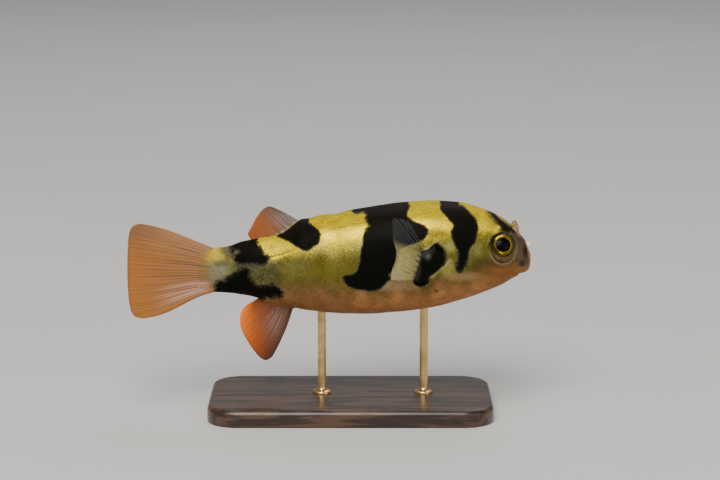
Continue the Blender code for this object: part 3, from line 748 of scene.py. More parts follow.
def gloss_fields(x, height, share):
    """Where the skin is pearly along the back, with painted sparkle highlights, wet on the pectoral
    lobe, and where a sheen along the lobe's rim and a highlight on it are painted.
    """
    shine = smooth(0.44, 0.66, share) * smooth(0.92, 0.82, share)
    shine = shine * smooth(31.6, 30.0, x) * smooth(-14.8, -13.2, x)
    lobe = depth_inside(BLACK_SHAPES["pectoral lobe"], x, height)
    # painted sheen along the lobe's rim, and a painted highlight spot on the lobe
    rim = 0.4 * hill(to_line(LOBE_SHEEN_RIM, x, height)[0], 0.42)
    lobe_sheen = np.maximum(rim, hill(np.hypot(x - 18.7, height - 29.8), 0.5))
    return shine, smooth(0.0, 0.4, lobe), lobe_sheen * smooth(-0.1, 0.2, lobe)


def stalk_mottle(x, seen_x, height):
    """Where the tail stalk is speckled: along its lower half, and round a place on its top."""
    length = smooth(-9.0, -12.0, x) * smooth(-23.5, -21.0, x) * smooth(30.2, 28.8, height)
    return np.maximum(length, hill(np.hypot(seen_x + 18.4, height - 30.6), 1.6))


def build_skin(finish):
    """The one skin: plain sections, raised along their normals by the sum of the forms.

    The lips are folded by a cosine of the angle round the mouth. Where the skin runs out over the
    tail fin it takes on the fin's rays.
    """
    top_x, bottom_x, back, belly, half, upper, lower = (row[:, None] for row in skin_sections())
    angles = even_angles(SKIN_COLUMNS)[None, :]
    plain = section_points((top_x + bottom_x) / 2, back, belly, half, upper, lower, angles)
    plain[..., 0] += (top_x - bottom_x) * ((plain[..., 2] - belly) / (back - belly) - 0.5)
    x, y, z = np.moveaxis(plain, -1, 0)
    middle = (back + belly) / 2
    seen_x, height = seen_from_side(x, y, z)
    share = (height - belly) / (back - belly)
    normal = grid_normals(plain, True)
    outward = plain - np.stack([x, 0 * y, middle + 0 * z], -1)
    normal *= np.sign(np.sum(normal * outward, -1).mean())

    along = np.clip((TAIL_ROOT_X - x) / TAIL_REACH, 0, 1)
    across = (TAIL_ROOT_TOP + along * TAIL_SPREAD_UP - z) / (TAIL_ROOT_DEPTH + along * TAIL_SPREAD)
    ridges = ray_ridges(across, along, TAIL_RAYS)
    tail = np.clip((TAIL_BLEND_X - x) / TAIL_BLEND, 0, 1)
    row = np.arange(len(plain))[:, None] - (len(plain) - LIP_ROWS)
    step = np.clip(row / (LIP_ROWS - 1) * LIP_STEPS, 0, None) + 0 * y
    rise = (
        gill_rise(seen_x, height)
        + lobe_rise(seen_x, height)
        + line_rise(seen_x, height)
        + fin_feet_rise(x, y, z, middle)
        + head_rise(x, y, z)
        + nostril_rise(x, y, z)
        + uneven_rise(x, y, z) * smooth(37.0, 34.0, x)
        + TAIL_RIDGE_RISE * tail * ridges
        + FOLD_RISE * np.cos(FOLDS * angles) * hill(step - 4.0, 1.6)
    )
    grid = plain + normal * rise[..., None] + orbit_shift(plain)

    lips = np.maximum(smooth(3.0, 4.4, step), 0.6 * smooth(35.4, 37.2, x) * smooth(28.6, 26.9, z))
    tone = skin_tone(seen_x, height, share, eye_parts(plain)[0], lips)
    band, fuzz = black_fields(seen_x, height, share)
    shine, wet, lobe_sheen = gloss_fields(seen_x, height, share)
    fields = {
        "tone": np.concatenate([tone, np.ones_like(tone[..., :1])], -1),
        "band": band,
        "fuzz": fuzz,
        "share": share,
        "wet": wet,
        "mottle": stalk_mottle(x, seen_x, height),
        "shine": shine,
        "lobe_sheen": lobe_sheen,
        "across": across,
        "along": along,
        "ridge": ridges,
        "tail": tail,
        "mouth": smooth(5.6, 7.4, step),
    }

    def with_poles(field):
        """A field of the grid, with its value for the two poles added."""
        flat = field.reshape(-1, *field.shape[2:])
        return np.concatenate([flat, field[:1, 0], field[-1:, 0]])

    points, faces = capped(grid)
    values = {name: with_poles(field) for name, field in fields.items()}
    mesh_piece("skin", points, faces, finish, ("head", "trunk", "tail_stalk"), values)


# ---------------------------------------------------------------- fins

FIN_SAMPLES = 57  # points along each ray
BACK, BELLY = 0, 1  # columns of a curve through BODY_SECTIONS
FLAT = np.array([0.0, 1.0, 0.0])  # the normal of a fin in the fish's middle plane
# Half the thickness at the root and at the edge.
TAIL_HALF, MEDIAN_HALF, PECTORAL_HALF = (0.62, 0.13), (0.5, 0.12), (0.2, 0.09)
PECTORAL_BOW, PECTORAL_SUNK = 0.75, 0.15

# The fins' edges: share of the way from the first ray to the last, x, height.
FIN_EDGES = {
    "tail_fin": (
        (0.0, -35.9, 36.15), (0.04, -36.8, 35.95), (0.08, -37.6, 35.4), (0.14, -38.1, 34.2),
        (0.3, -38.46, 31.0), (0.5, -38.6, 27.3), (0.7, -38.52, 23.6), (0.87, -38.2, 20.4),
        (0.93, -37.8, 18.95), (0.97, -37.0, 18.1), (1.0, -35.6, 17.8),
    ),
    "dorsal_fin": (
        (0.0, -10.4, 39.2), (0.12, -11.4, 39.5), (0.25, -12.5, 39.0), (0.5, -13.9, 37.3),
        (0.75, -14.9, 35.4), (0.92, -15.5, 34.2), (1.0, -15.2, 33.5),
    ),
    "anal_fin": (
        (0.0, -11.0, 10.25), (0.1, -12.2, 9.6), (0.22, -13.5, 10.3), (0.45, -15.85, 13.6),
        (0.65, -17.05, 16.3), (0.8, -17.1, 18.3), (0.92, -16.1, 20.2), (1.0, -14.9, 20.9),
    ),
    "pectoral_fin": (
        (0.0, 15.0, 38.4), (0.1, 13.6, 39.0), (0.2, 11.9, 39.05), (0.3, 11.85, 37.6),
        (0.5, 11.9, 35.0), (0.65, 12.5, 33.0), (0.8, 12.3, 31.0), (0.9, 11.7, 29.3),
        (1.0, 11.5, 27.4),
    ),
}


def ray_ridges(across, along, rays):
    """Height of the fin's rays from 0 to 1: |cos| ridges that split in two on their way out.

    Near its root each ray splits into two branches, and about halfway each branch into two more.
    """
    bent = across + 0.004 * np.sin(19 * across) * along
    single = np.abs(np.cos(math.pi * rays * bent))
    double = np.abs(np.sin(2 * math.pi * rays * bent))
    fourfold = np.abs(np.sin(4 * math.pi * rays * bent))
    first = smooth(0.10, 0.26, along)
    second = smooth(0.42, 0.62, along)
    return (single * (1 - first) + double * first) * (1 - 0.6 * second) + 0.6 * fourfold * second


def fin_piece(name, middle, normal, rays, halves, finish, relief=0.38):
    """A fin as a closed shell: a middle sheet given half its thickness to both sides.

    The thickness falls from root to edge as (1.9 along)^0.7 and follows the rays by the share
    relief. It closes at the margins as sqrt(1 - |2 across - 1|^24) sqrt(1 - along^30).
    """
    across = np.linspace(0, 1, middle.shape[0])[:, None]
    along = np.linspace(0, 1, middle.shape[1])[None, :]
    ridges = ray_ridges(across, along, rays)
    at_root, at_edge = halves
    half = at_root + (at_edge - at_root) * np.minimum(1, 1.9 * along) ** 0.7
    margin = np.sqrt(np.clip(1 - np.abs(2 * across - 1) ** 24, 0, 1))
    margin = margin * np.sqrt(np.clip(1 - along**30, 0, 1))
    half = half * (1 - relief + relief * ridges) * margin
    front = middle + normal * half[..., None]
    back = middle - normal * half[..., None]
    ring = np.concatenate([front, back[:, -2::-1]], axis=1)
    faces = grid_faces(ring.shape[0], ring.shape[1], True).tolist()

    def both_sides(field):
        """A field of the sheet, out along its front and home along its back."""
        field = np.broadcast_to(field, half.shape)
        return np.concatenate([field, field[:, -2::-1]], axis=1).ravel()

    values = {"ridge": both_sides(ridges), "across": both_sides(across), "along": both_sides(along)}
    uv = np.stack([values["across"], values["along"]], -1)
    piece = name.replace("fin", "fan")
    mesh_piece(piece, ring.reshape(-1, 3), faces, finish, (name,), values, uv)


def fin_sheet(root, tip, bow, sway=None):
    """Rays from root to tip, bowed by 4 run (1 - run) bow and swayed out of the plane."""
    run = np.linspace(0, 1, FIN_SAMPLES)[None, :, None]
    sheet = root[:, None] + (tip - root)[:, None] * run + bow[:, None] * 4 * run * (1 - run)
    if sway is not None:
        across = np.linspace(0, 1, len(root))[:, None]
        sheet[..., 1] += sway(across, run[..., 0])
    return sheet


def upright(x, z):
    """Points in the fish's middle plane."""
    return np.stack([x, 0 * x, z], -1)


def ragged(tip, root, across, rays, amount):
    """Draws the edge back between the rays' tips by a small share of their length."""
    dip = 1 - np.abs(np.sin(4 * math.pi * rays * across))
    return tip - (tip - root) * (amount * dip)[:, None]


def build_tail_fin(finish):
    """The fan of the tail, whose root is hidden in the end of the stalk.

    Its top edge bows up, and its bottom edge sways up and then down, by less towards the middle.
    """
    across = np.linspace(0, 1, 353)
    root = upright(np.full_like(across, TAIL_ROOT_X), TAIL_ROOT_TOP - TAIL_ROOT_DEPTH * across)
    tip = upright(*through(FIN_EDGES["tail_fin"], across).T)
    tip = ragged(tip, root, across, TAIL_RAYS, 0.006)
    sheet = fin_sheet(root, tip, 0 * tip, lambda u, v: 0.5 * v**2 * np.sin(3.5 * u + 0.4))
    run = np.linspace(0, 1, FIN_SAMPLES)[None, :]
    upper = np.clip(1 - 2 * across, 0, 1)[:, None] ** 2
    lower = np.clip(2 * across - 1, 0, 1)[:, None] ** 2
    sheet[..., 2] += 4 * run * (1 - run) * (0.5 * upper - 0.1 * lower)
    sheet[..., 2] += np.sin(2 * math.pi * run) * (0.42 * lower - 0.12 * upper)
    fin_piece("tail_fin", sheet, FLAT, TAIL_RAYS, TAIL_HALF, finish, relief=0.2)


def build_median_fin(name, finish, rays, points, first_foot, run, line, sunk, dip, bow, sway):
    """A fin in the fish's middle plane, its rays' feet sunk in the back or in the belly.

    The bow, along x and up, fades from the first ray to the last. The fin sways out of its plane
    by height along^2 sin(turn across), where sway is (height, turn).
    """
    across = np.linspace(0, 1, points)
    root_x = first_foot - run * across
    root = upright(root_x, through(BODY_SECTIONS, root_x)[:, line] + sunk)
    tip = ragged(upright(*through(FIN_EDGES[name], across).T), root, across, rays, dip)
    fading = 1 - across
    height, turn = sway
    sheet = fin_sheet(
        root,
        tip,
        upright(bow[0] * fading, bow[1] * fading),
        lambda u, v: height * v**2 * np.sin(turn * u),
    )
    fin_piece(name, sheet, FLAT, rays, MEDIAN_HALF, finish)


def build_dorsal_fin(finish):
    """The fin on the back, bowed up a little."""
    build_median_fin(
        "dorsal_fin", finish, rays=9, points=217, first_foot=-5.3, run=9.25, line=BACK, sunk=-0.5,
        dip=0.012, bow=(0.0, 0.15), sway=(0.3, 4.0),
    )


def build_anal_fin(finish):
    """The fin under the body's rear, bowed forward a little."""
    build_median_fin(
        "anal_fin", finish, rays=8, points=257, first_foot=-6.8, run=6.2, line=BELLY, sunk=0.5,
        dip=0.01, bow=(0.4, 0.0), sway=(-0.35, 3.5),
    )


def build_pectoral_fins(finish):
    """Fans that stand off the flanks behind their fleshy lobes, the left one spread lower."""
    rays = 7
    across = np.linspace(0, 1, 257)
    root_x = 17.9 - 2.0 * across
    root_z = 33.3 - 6.3 * across
    tip_x, tip_z = through(FIN_EDGES["pectoral_fin"], across).T
    reach = 3.0 - 0.7 * across
    for side, name in SIDES:
        angles = angles_at_height(root_x, root_z, side)
        root = body_surface(root_x, angles) - PECTORAL_SUNK * surface_normal(root_x, angles)
        drop = LEFT_FIN_DROP * (side == LEFT)
        tip = np.stack([tip_x, root[:, 1] + side * reach, tip_z - drop], -1)
        tip = ragged(tip, root, across, rays, 0.012)
        sheet = fin_sheet(root, tip, side * PECTORAL_BOW * FLAT + 0 * tip)
        normal = grid_normals(sheet, False)
        fin_piece("pectoral_fin_" + name, sheet, normal, rays, PECTORAL_HALF, finish)


# ---------------------------------------------------------------- eyes, horns, beak

EYE_BACK = math.radians(80)  # how far round from the gaze an eyeball reaches
IRIS_SUNK, PUPIL_SUNK, IRIS_ROUND = 0.14, 0.24, 0.06
CORNEA_SPREAD, CORNEA_BULGE, CORNEA_SUNK = IRIS_SPREAD + 0.07, 0.11, 0.08
# The horn: share of the way from foot to tip hole, radius, height.
HORN_SECTIONS = (
    (0.0, 1.15, -0.5), (0.12, 0.88, -0.1), (0.3, 0.68, 0.3), (0.55, 0.57, 0.75),
    (0.78, 0.46, 1.1), (0.9, 0.34, 1.3), (0.95, 0.2, 1.37), (0.975, 0.11, 1.33), (1.0, 0.05, 1.05),
)
BEAK_RADII = np.array([1.5, 1.2, 0.82])


def about_axis(place, axis, out, up, turns):
    """Rings about an axis: each profile point (out, up) carried round by the turns.

    A point is place + up axis + out (cos(turn) first + sin(turn) second).
    """
    aside = (1.0, 0.0, 0.0) if abs(axis[2]) > 0.9 else (0.0, 0.0, 1.0)
    first = np.cross(axis, aside)
    first = first / np.linalg.norm(first)
    second = np.cross(first, axis)
    spoke = np.cos(turns)[None, :, None] * first + np.sin(turns)[None, :, None] * second
    return place + out[:, None, None] * spoke + up[:, None, None] * np.asarray(axis)


def about_gaze(spread, radius, turns):
    """Rings of the left eye at angles of spread from its gaze, at a radius from its middle.

    A point is middle + radius (cos(spread) gaze + sin(spread) spoke), the spoke going round.
    """
    middle = EYE_PLACE - (BALL_RADIUS - EYE_DEPTH) * EYE_AXIS
    out, up = radius * np.sin(spread), radius * np.cos(spread)
    return about_axis(middle, direction(EYE_AHEAD - GAZE_BACK, EYE_UP + GAZE_UP), out, up, turns)


def build_eyes(ball_finish, cornea_finish):
    """Eyeballs with a sunk iris and pupil, each under a clear cornea that bulges a little."""
    turns = np.linspace(0, 2 * math.pi, 112, endpoint=False)
    white = np.linspace(EYE_BACK, IRIS_SPREAD, 40)
    iris = np.linspace(IRIS_SPREAD, PUPIL_SPREAD, 18)
    pupil = np.linspace(PUPIL_SPREAD, 0.004, 16)
    ring = IRIS_ROUND * np.sin(math.pi * np.linspace(0, 1, len(iris)))
    spread = np.concatenate([white, iris, pupil])
    radius = BALL_RADIUS - np.concatenate([0 * white, IRIS_SUNK - ring, PUPIL_SUNK + 0 * pupil])
    clear = np.linspace(0.006, CORNEA_SPREAD, 30)
    bulge = BALL_RADIUS + CORNEA_BULGE * smooth(CORNEA_SPREAD, 0.3, clear) - 0.01
    shell_spread = np.concatenate([clear, clear[::-1]])
    shell_radius = np.concatenate([bulge, 0 * clear + BALL_RADIUS - CORNEA_SUNK])
    eyeball, ball_faces = capped(about_gaze(spread, radius, turns))
    cornea, cornea_faces = capped(about_gaze(shell_spread, shell_radius, turns))
    degrees = np.repeat(np.degrees(spread), len(turns))
    values = {
        "spread": np.concatenate([degrees, [math.degrees(EYE_BACK), 0.0]]),
        "turn": np.concatenate([np.tile(turns, len(spread)), [0.0, 0.0]]),
    }
    for side, name in SIDES:
        mirror = np.array([1.0, side, 1.0])
        node = ("eye_" + name,)
        mesh_piece("eyeball_" + name, eyeball * mirror, ball_faces, ball_finish, node, values)
        mesh_piece("cornea_" + name, cornea * mirror, cornea_faces, cornea_finish)


def build_nostrils(finish):
    """Soft horns: rings that narrow from a flared foot to a round tip with a small hole.

    The rings of the foot lie along the slope of the snout, and the upper ones are level.
    """
    turns = np.linspace(0, 2 * math.pi, 40, endpoint=False)
    share = np.linspace(0, 1, 40)
    radius, height = through(HORN_SECTIONS, share).T
    ring = np.stack([np.cos(turns), 0.85 * np.sin(turns), 0 * turns], -1)
    slope = 0.9 * (1 - smooth(0.0, 0.8, share))[:, None]
    values = {"share": np.concatenate([np.repeat(share, len(turns)), [0.0, 1.0]])}
    for side, name in SIDES:
        foot = NOSTRIL_FOOT * np.array([1.0, side, 1.0])
        lean = np.array([NOSTRIL_LEAN, side * 0.12, 1.0])
        grid = (foot + lean * height[:, None])[:, None] + radius[:, None, None] * ring
        grid[..., 2] -= slope * (grid[..., 0] - foot[0])
        points, faces = capped(grid)
        mesh_piece("horn_" + name, points, faces, finish, ("nostril_" + name,), values)


def build_beak(finish):
    """Fused teeth: a stretched ball with a mouth line across and a seam down its front.

    Its direction is (signed cos^0.8(polar), sin(polar) cos(turn), sin(polar) sin(turn)).
    """
    polar = np.linspace(0.02, math.pi - 0.02, 60)[:, None]
    turns = np.linspace(0, 2 * math.pi, 96, endpoint=False)[None, :]
    ahead = signed_power(np.cos(polar), 0.8) + 0 * turns
    across = np.sin(polar) * np.cos(turns)
    above = np.sin(polar) * np.sin(turns)
    front = smooth(-0.1, 0.5, ahead)
    groove = front * (0.13 * hill(above + 0.30, 0.09) + 0.04 * hill(across, 0.07))
    size = (1 - groove) * (1 + 0.05 * smooth(-0.2, 0.4, above) * front)
    grid = BEAK_PLACE + np.stack([ahead, across, above], -1) * size[..., None] * BEAK_RADII
    points, faces = capped(grid)
    mesh_piece("teeth", points, faces, finish, ("beak",))


# ---------------------------------------------------------------- stand

BASE_CORNER, ROD_RADIUS = 6.0, 0.8


def corner_ring(half_length, half_width, corner, steps=14):
    """A rectangle with round corners, as one ring of points in plan: four quarter circles."""
    quarter = np.linspace(0, math.pi / 2, steps)
    parts = []
    for quarters, (along, across) in enumerate(((1, 1), (-1, 1), (-1, -1), (1, -1))):
        turn = quarter + quarters * math.pi / 2
        x = along * (half_length - corner) + corner * np.cos(turn)
        y = across * (half_width - corner) + corner * np.sin(turn)
        parts.append(np.stack([x, y], -1))
    return np.concatenate(parts)


def build_board(finish):
    """The board: rings from the middle of its underside, up its edge and in across its top.

    Each step of its profile is an inset from the edge and a height.
    """
    low, high = (np.array(corner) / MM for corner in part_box("stand_base"))
    middle, half = (low + high) / 2, (high - low) / 2
    top = high[2]
    inmost = half[1] - 1.1
    profile = (
        (inmost, 0.0), (7.0, 0.0), (0.5, 0.0), (0.12, 0.12), (0.0, 0.5), (0.0, 1.2), (0.0, top - 0.9),
        (0.05, top - 0.62), (0.24, top - 0.3), (0.52, top - 0.1), (0.9, top), (3.0, top),
        (8.0, top), (inmost, top),
    )
    rings = []
    for inset, z in profile:
        ring = corner_ring(half[0] - inset, half[1] - inset, max(BASE_CORNER - inset, 0.4))
        rings.append(np.column_stack([ring + middle[:2], np.full(len(ring), z)]))
    points, faces = capped(np.array(rings))
    board = mesh_piece("board", points, faces, finish, ("stand_base",))
    board.data.set_sharp_from_angle(angle=math.radians(50))


def build_rods(finish):
    """Turned rods: a collar on the board, a plain shaft, a round end sunk in the belly."""
    turns = np.linspace(0, 2 * math.pi, 48, endpoint=False)
    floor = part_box("stand_base")[1][2] / MM
    r = ROD_RADIUS
    for name in ("stand_rod_rear", "stand_rod_front"):
        x, y, _ = middle_of(name)
        bottom, top = (corner[2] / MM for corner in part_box(name))
        profile = (
            (0.02, bottom), (r, bottom), (r, floor - 0.1), (2.2 * r, floor - 0.1),
            (2.25 * r, floor + 0.02), (2.25 * r, floor + 0.3), (2.1 * r, floor + 0.5),
            (1.5 * r, floor + 0.62), (1.15 * r, floor + 0.85), (r, floor + 1.3), (r, floor + 6.0),
            (r, top), (0.9 * r, top + 0.6), (0.5 * r, top + 0.85), (0.02, top + 0.9),
        )
        grid = about_axis(np.array([x, y, 0.0]), (0.0, 0.0, 1.0), *np.array(profile).T, turns)
        points, faces = capped(grid)
        rod = mesh_piece(name.replace("stand_", ""), points, faces, finish, (name,))
        rod.data.set_sharp_from_angle(angle=math.radians(40))


# ---------------------------------------------------------------- finishes


class Finish:
    """A Principled finish and the nodes that feed it. Each method returns its node's output."""

    def __init__(self, name, **sockets):
        self.material = bpy.data.materials.new(name)
        self.material.use_nodes = True
        self.tree = self.material.node_tree
        self.surface = self.tree.nodes["Principled BSDF"]
        for socket, value in sockets.items():
            self.feed(socket.replace("_", " "), value)

    def feed(self, socket, value):
        """Gives one of the finish's own sockets a plain value or a node's output."""
        self.join(value, self.surface.inputs[socket])

    def join(self, value, socket):
        """Gives any socket a plain value, or links a node's output to it."""
        if isinstance(value, bpy.types.NodeSocket):
            self.tree.links.new(value, socket)
        elif socket.type == "RGBA":
            shade = value if isinstance(value, tuple) else (value, value, value)
            socket.default_value = (*shade, 1.0)
        else:
            socket.default_value = value

    def node(self, kind, inputs, output=0, **settings):
        """A new node of that kind, with its inputs joined and its settings made."""
        made = self.tree.nodes.new("ShaderNode" + kind)
        for name, value in settings.items():
            setattr(made, name, value)
        for socket, value in inputs.items():
            self.join(value, made.inputs[socket])
        return made.outputs[output]

    def place(self, stretch=None):
        """Object coordinates, in metres, with each axis stretched as asked."""
        here = self.node("TexCoord", {}, "Object")
        if stretch is None:
            return here
        return self.node("Mapping", {"Vector": here, "Scale": stretch})

    def field(self, name, output="Fac"):
        """One of the piece's own attributes."""
        return self.node("Attribute", {}, output, attribute_name=name)

    def noise(self, where, size, detail=4.0, roughness=0.55, warp=0.0):
        """Cloudy noise from 0 to 1 whose patches are about size millimetres across."""
        inputs = {"Vector": where, "Scale": 1 / (size * MM), "Detail": detail}
        inputs |= {"Roughness": roughness, "Distortion": warp}
        return self.node("TexNoise", inputs, "Fac")

    def cells(self, where, size):
        """Distance from the middles of scattered cells about size millimetres across."""
        return self.node("TexVoronoi", {"Vector": where, "Scale": 1 / (size * MM)}, "Distance")

    def fan_noise(self, across, stretch, along=0.0, detail=2.0):
        """Noise in streaks that follow a fan's rays: stretch patches from side to side."""
        where = self.node("CombineXYZ", {0: self.times(across, stretch), 1: along})
        return self.node("TexNoise", {"Vector": where, "Scale": 1.0, "Detail": detail}, "Fac")

    def maths(self, operation, *values):
        """One sum with plain numbers or nodes' outputs."""
        return self.node("Math", dict(enumerate(values)), operation=operation)

    def times(self, first, *others):
        """The product of all the values."""
        for other in others:
            first = self.maths("MULTIPLY", first, other)
        return first

    def times_plus(self, first, second, third):
        """The first value times the second, plus the third."""
        return self.maths("MULTIPLY_ADD", first, second, third)

    def less(self, first, second):
        """The first value less the second."""
        return self.maths("SUBTRACT", first, second)

    def apart(self, first, second):
        """How far two values are apart."""
        return self.maths("ABSOLUTE", self.less(first, second))

    def facing(self, turn, towards):
        """The cosine of the angle between two turns."""
        return self.maths("COSINE", self.less(turn, towards))

    def spread(self, value, low, high, to_low=0.0, to_high=1.0):
        """Carries low..high over to to_low..to_high with a smooth step."""
        inputs = {0: value, 1: low, 2: high, 3: to_low, 4: to_high}
        return self.node("MapRange", inputs, interpolation_type="SMOOTHSTEP")

    def blend(self, share, first, second):
        """The first number at share 0, the second at share 1."""
        return self.node("Mix", {0: share, 2: first, 3: second})

    def between(self, share, first, second):
        """The first colour at share 0, the second at share 1."""
        return self.node("Mix", {0: share, 6: first, 7: second}, 2, data_type="RGBA")

    def tinted(self, colour, value):
        """A colour times a brightness."""
        inputs = {0: 1.0, 6: colour, 7: value}
        return self.node("Mix", inputs, 2, data_type="RGBA", blend_type="MULTIPLY")

    def stops(self, share, colours):
        """A run of colours: pairs of a place from 0 to 1 and its colour."""
        made = self.tree.nodes.new("ShaderNodeValToRGB")
        ramp = made.color_ramp
        while len(ramp.elements) < len(colours):
            ramp.elements.new(1.0)
        for element, (position, colour) in zip(ramp.elements, colours):
            element.position = position
            element.color = (*colour, 1.0)
        self.join(share, made.inputs[0])
        return made.outputs[0]

    def bump(self, height, distance, below=None):
        """Relief of that height, in millimetres, over an earlier bump."""
        inputs = {"Height": height, "Distance": distance * MM, "Strength": 1.0}
        if below is not None:
            inputs["Normal"] = below
        return self.node("Bump", inputs)

    def flesh(self, weight, radius, depth):
        """Lets light a little way into the surface: depth in millimetres, radius by colour."""
        self.feed("Subsurface Weight", weight)
        self.feed("Subsurface Radius", radius)
        self.feed("Subsurface Scale", depth * MM)


# Painted highlights of the light from above in the gold iris: degrees from straight ahead, the
# cosines they fade in between, and their width in degrees.
IRIS_PAINTED_HIGHLIGHTS = ((112, 0.80, 0.97, 6.0), (250, 0.965, 0.995, 3.0))
PAINTED_HIGHLIGHT_GOLD = (0.74, 0.46, 0.0)
BLACK = (0.0026, 0.0030, 0.0016)
# The black's brownish tinge towards the back, lightened by a painted sheen of the light from above.
SHEENED_BROWN_BLACK = (0.0066, 0.0050, 0.0028)
FRINGE_BROWN = (0.078, 0.066, 0.046)
# The pale grey of the sheen and highlight painted on the pectoral lobe's black.
PAINTED_SHEEN_GREY = (0.060, 0.064, 0.060)
# The mouth's red flesh, darkened by painted shade.
SHADED_MOUTH_RED = (0.05, 0.012, 0.01)
SPECK_GREEN = (0.17, 0.16, 0.08)
# The colour of the sparkle highlights painted along the pearly band.
PAINTED_SPARKLE_YELLOW = (1.0, 0.78, 0.08)


def fin_colour(make, root, middle, edge, front, streak, base, light, foot, fore, glow):
    """Fin membrane: colours run from root to edge and towards the fin's front, with grey streaks.

    The rays stand out a little paler over the membrane, and the streaks follow them. Light
    streaks lie around the place that glow tells as (across, half its width). The foot and fore are
    how far the base's and the front's colours reach.
    """
    across, along = make.field("across"), make.field("along")
    streaks = make.fan_noise(across, 46.0, along, 3.0)
    broad = make.fan_noise(across, 9.0, along)
    colour = make.stops(along, ((0.0, root), (0.5, middle), (1.0, edge)))
    front = make.tinted(front, make.spread(along, 0.5, 1.0, 1.0, 0.65))
    colour = make.between(make.spread(across, fore, 0.0), colour, front)
    colour = make.between(make.spread(along, foot, foot / 2), colour, base)
    grey = make.times(
        make.spread(streaks, 0.48, 0.66),
        make.spread(along, 1.0, 0.3),
        make.spread(broad, 0.40, 0.58, 0.2, 0.95),
        make.spread(make.apart(across, 0.44), 0.42, 0.12, 0.35, 1.0),
    )
    colour = make.between(grey, colour, streak)
    place, half = glow
    pale = make.times(
        make.spread(make.apart(across, place), half, half / 3),
        make.spread(along, 0.8, 0.3),
        make.spread(streaks, 0.62, 0.42, 0.15, 0.85),
    )
    colour = make.between(pale, colour, light)
    lit = make.spread(make.field("ridge"), 0.05, 0.85, 0.89, 1.08)
    return make.tinted(colour, make.times(lit, make.spread(streaks, 0.3, 0.7, 1.12, 0.9)))


def mottled_tone(make, place, grain, specks, share, shine):
    """The skin's tone with clouds and grain, pores, pearly dapples, painted sparkle highlights, back
    lines and pale specks.
    """
    tone = make.field("tone", "Color")
    cloud = make.noise(place, 2.2, 5.0)
    mottle = make.spread(grain, 0.25, 0.75, 0.76, 1.16)
    tone = make.tinted(tone, make.times(mottle, make.spread(cloud, 0.3, 0.7, 0.82, 1.12)))
    pores = make.spread(specks, 0.12, 0.34, 0.75, 0.0)
    pores = make.times(pores, make.spread(share, 0.95, 0.35, 0.12, 0.6))
    tone = make.between(pores, tone, make.tinted(tone, 0.6))
    streaks = make.noise(make.place((1.5, 1.5, 0.55)), 0.30, 3.0, 0.6, 0.6)
    tone = make.tinted(tone, make.blend(shine, 1.0, make.spread(streaks, 0.3, 0.7, 0.66, 1.24)))
    # painted sparkle highlights: pale yellow flecks along the pearly band, where light glints
    painted_sparkle = make.times(shine, make.spread(streaks, 0.54, 0.78), 0.35)
    tone = make.between(painted_sparkle, tone, PAINTED_SPARKLE_YELLOW)
    lines = make.noise(make.place((0.22, 1.0, 1.0)), 0.42, 3.0, 0.6, 0.4)
    lines = make.spread(lines, 0.3, 0.7, 0.8, 1.12)
    tone = make.tinted(tone, make.blend(make.spread(share, 0.78, 0.9), 1.0, lines))
    pale = make.spread(make.noise(place, 0.6, 4.0, 0.65), 0.46, 0.68)
    return make.between(make.times(make.field("mottle"), pale, 0.6), tone, SPECK_GREEN)


def depth_in_black(make, place):
    """How deep the skin is in its black, in widths of the soft edge, below 0 outside.

    Cloudy noise moves the edge a little, and far more where the fuzz is high, in grains.
    """
    fuzz = make.field("fuzz")
    wander = make.less(make.noise(place, 1.0, 4.0, 0.6), 0.5)
    grains = make.less(make.noise(place, 0.42, 3.0, 0.6), 0.5)
    edge = make.times_plus(wander, make.times_plus(fuzz, 1.4, 0.7), make.field("band"))
    edge = make.times_plus(grains, make.times_plus(fuzz, 2.2, 0.25), edge)
    return make.maths("DIVIDE", edge, make.times_plus(fuzz, 0.35, 0.22))


def skin_finish(tail_colours):
    """Skin: its mottled tone, and black where the marking's depth is above 0.

    The black is browner and lighter towards the back, partly a painted sheen of the light from above,
    and paler where a sheen and a highlight are painted on the pectoral lobe; it has a brown fringe.
    The back's yellow is pearly. At its rear end the skin takes on the tail fin's colour.
    """
    make = Finish("puffer_skin", IOR=1.4, Specular_IOR_Level=0.05)
    place = make.place()
    share, shine = make.field("share"), make.field("shine")
    grain = make.noise(place, 0.34, 3.0, 0.6)
    specks = make.cells(place, 0.42)
    tone = mottled_tone(make, place, grain, specks, share, shine)
    edge = depth_in_black(make, place)
    black = make.spread(edge, -1.0, 1.0)
    fringe = make.between(0.6, make.tinted(tone, 0.22), FRINGE_BROWN)
    tone = make.between(make.spread(edge, -1.5, -0.2), tone, fringe)
    # painted sheen: the black lighter and browner towards the back, where the light from above falls
    dark = make.between(make.spread(share, 0.62, 0.95), BLACK, SHEENED_BROWN_BLACK)
    # painted sheen and highlight on the pectoral lobe's black
    dark = make.between(make.field("lobe_sheen"), dark, PAINTED_SHEEN_GREY)
    colour = make.between(black, tone, dark)
    # inside the mouth: red flesh darkened by painted shade
    colour = make.between(make.field("mouth"), colour, SHADED_MOUTH_RED)
    rays = make.less(make.fan_noise(make.field("across"), 30.0), 0.5)
    tail = make.spread(make.times_plus(rays, 1.3, make.field("tail")), 0.22, 0.78)
    make.feed("Base Color", make.between(tail, colour, fin_colour(make, **tail_colours)))
    rough = make.times_plus(shine, -0.07, make.spread(grain, 0.2, 0.8, 0.42, 0.54))
    make.feed("Roughness", make.blend(make.field("wet"), rough, 0.28))
    make.feed("Metallic", make.times(shine, make.less(1.0, black), 0.45))
    make.flesh(0.05, (1.0, 0.45, 0.15), 0.5)
    make.feed("Normal", make.bump(grain, 0.05, make.bump(specks, 0.025)))
    return make.material


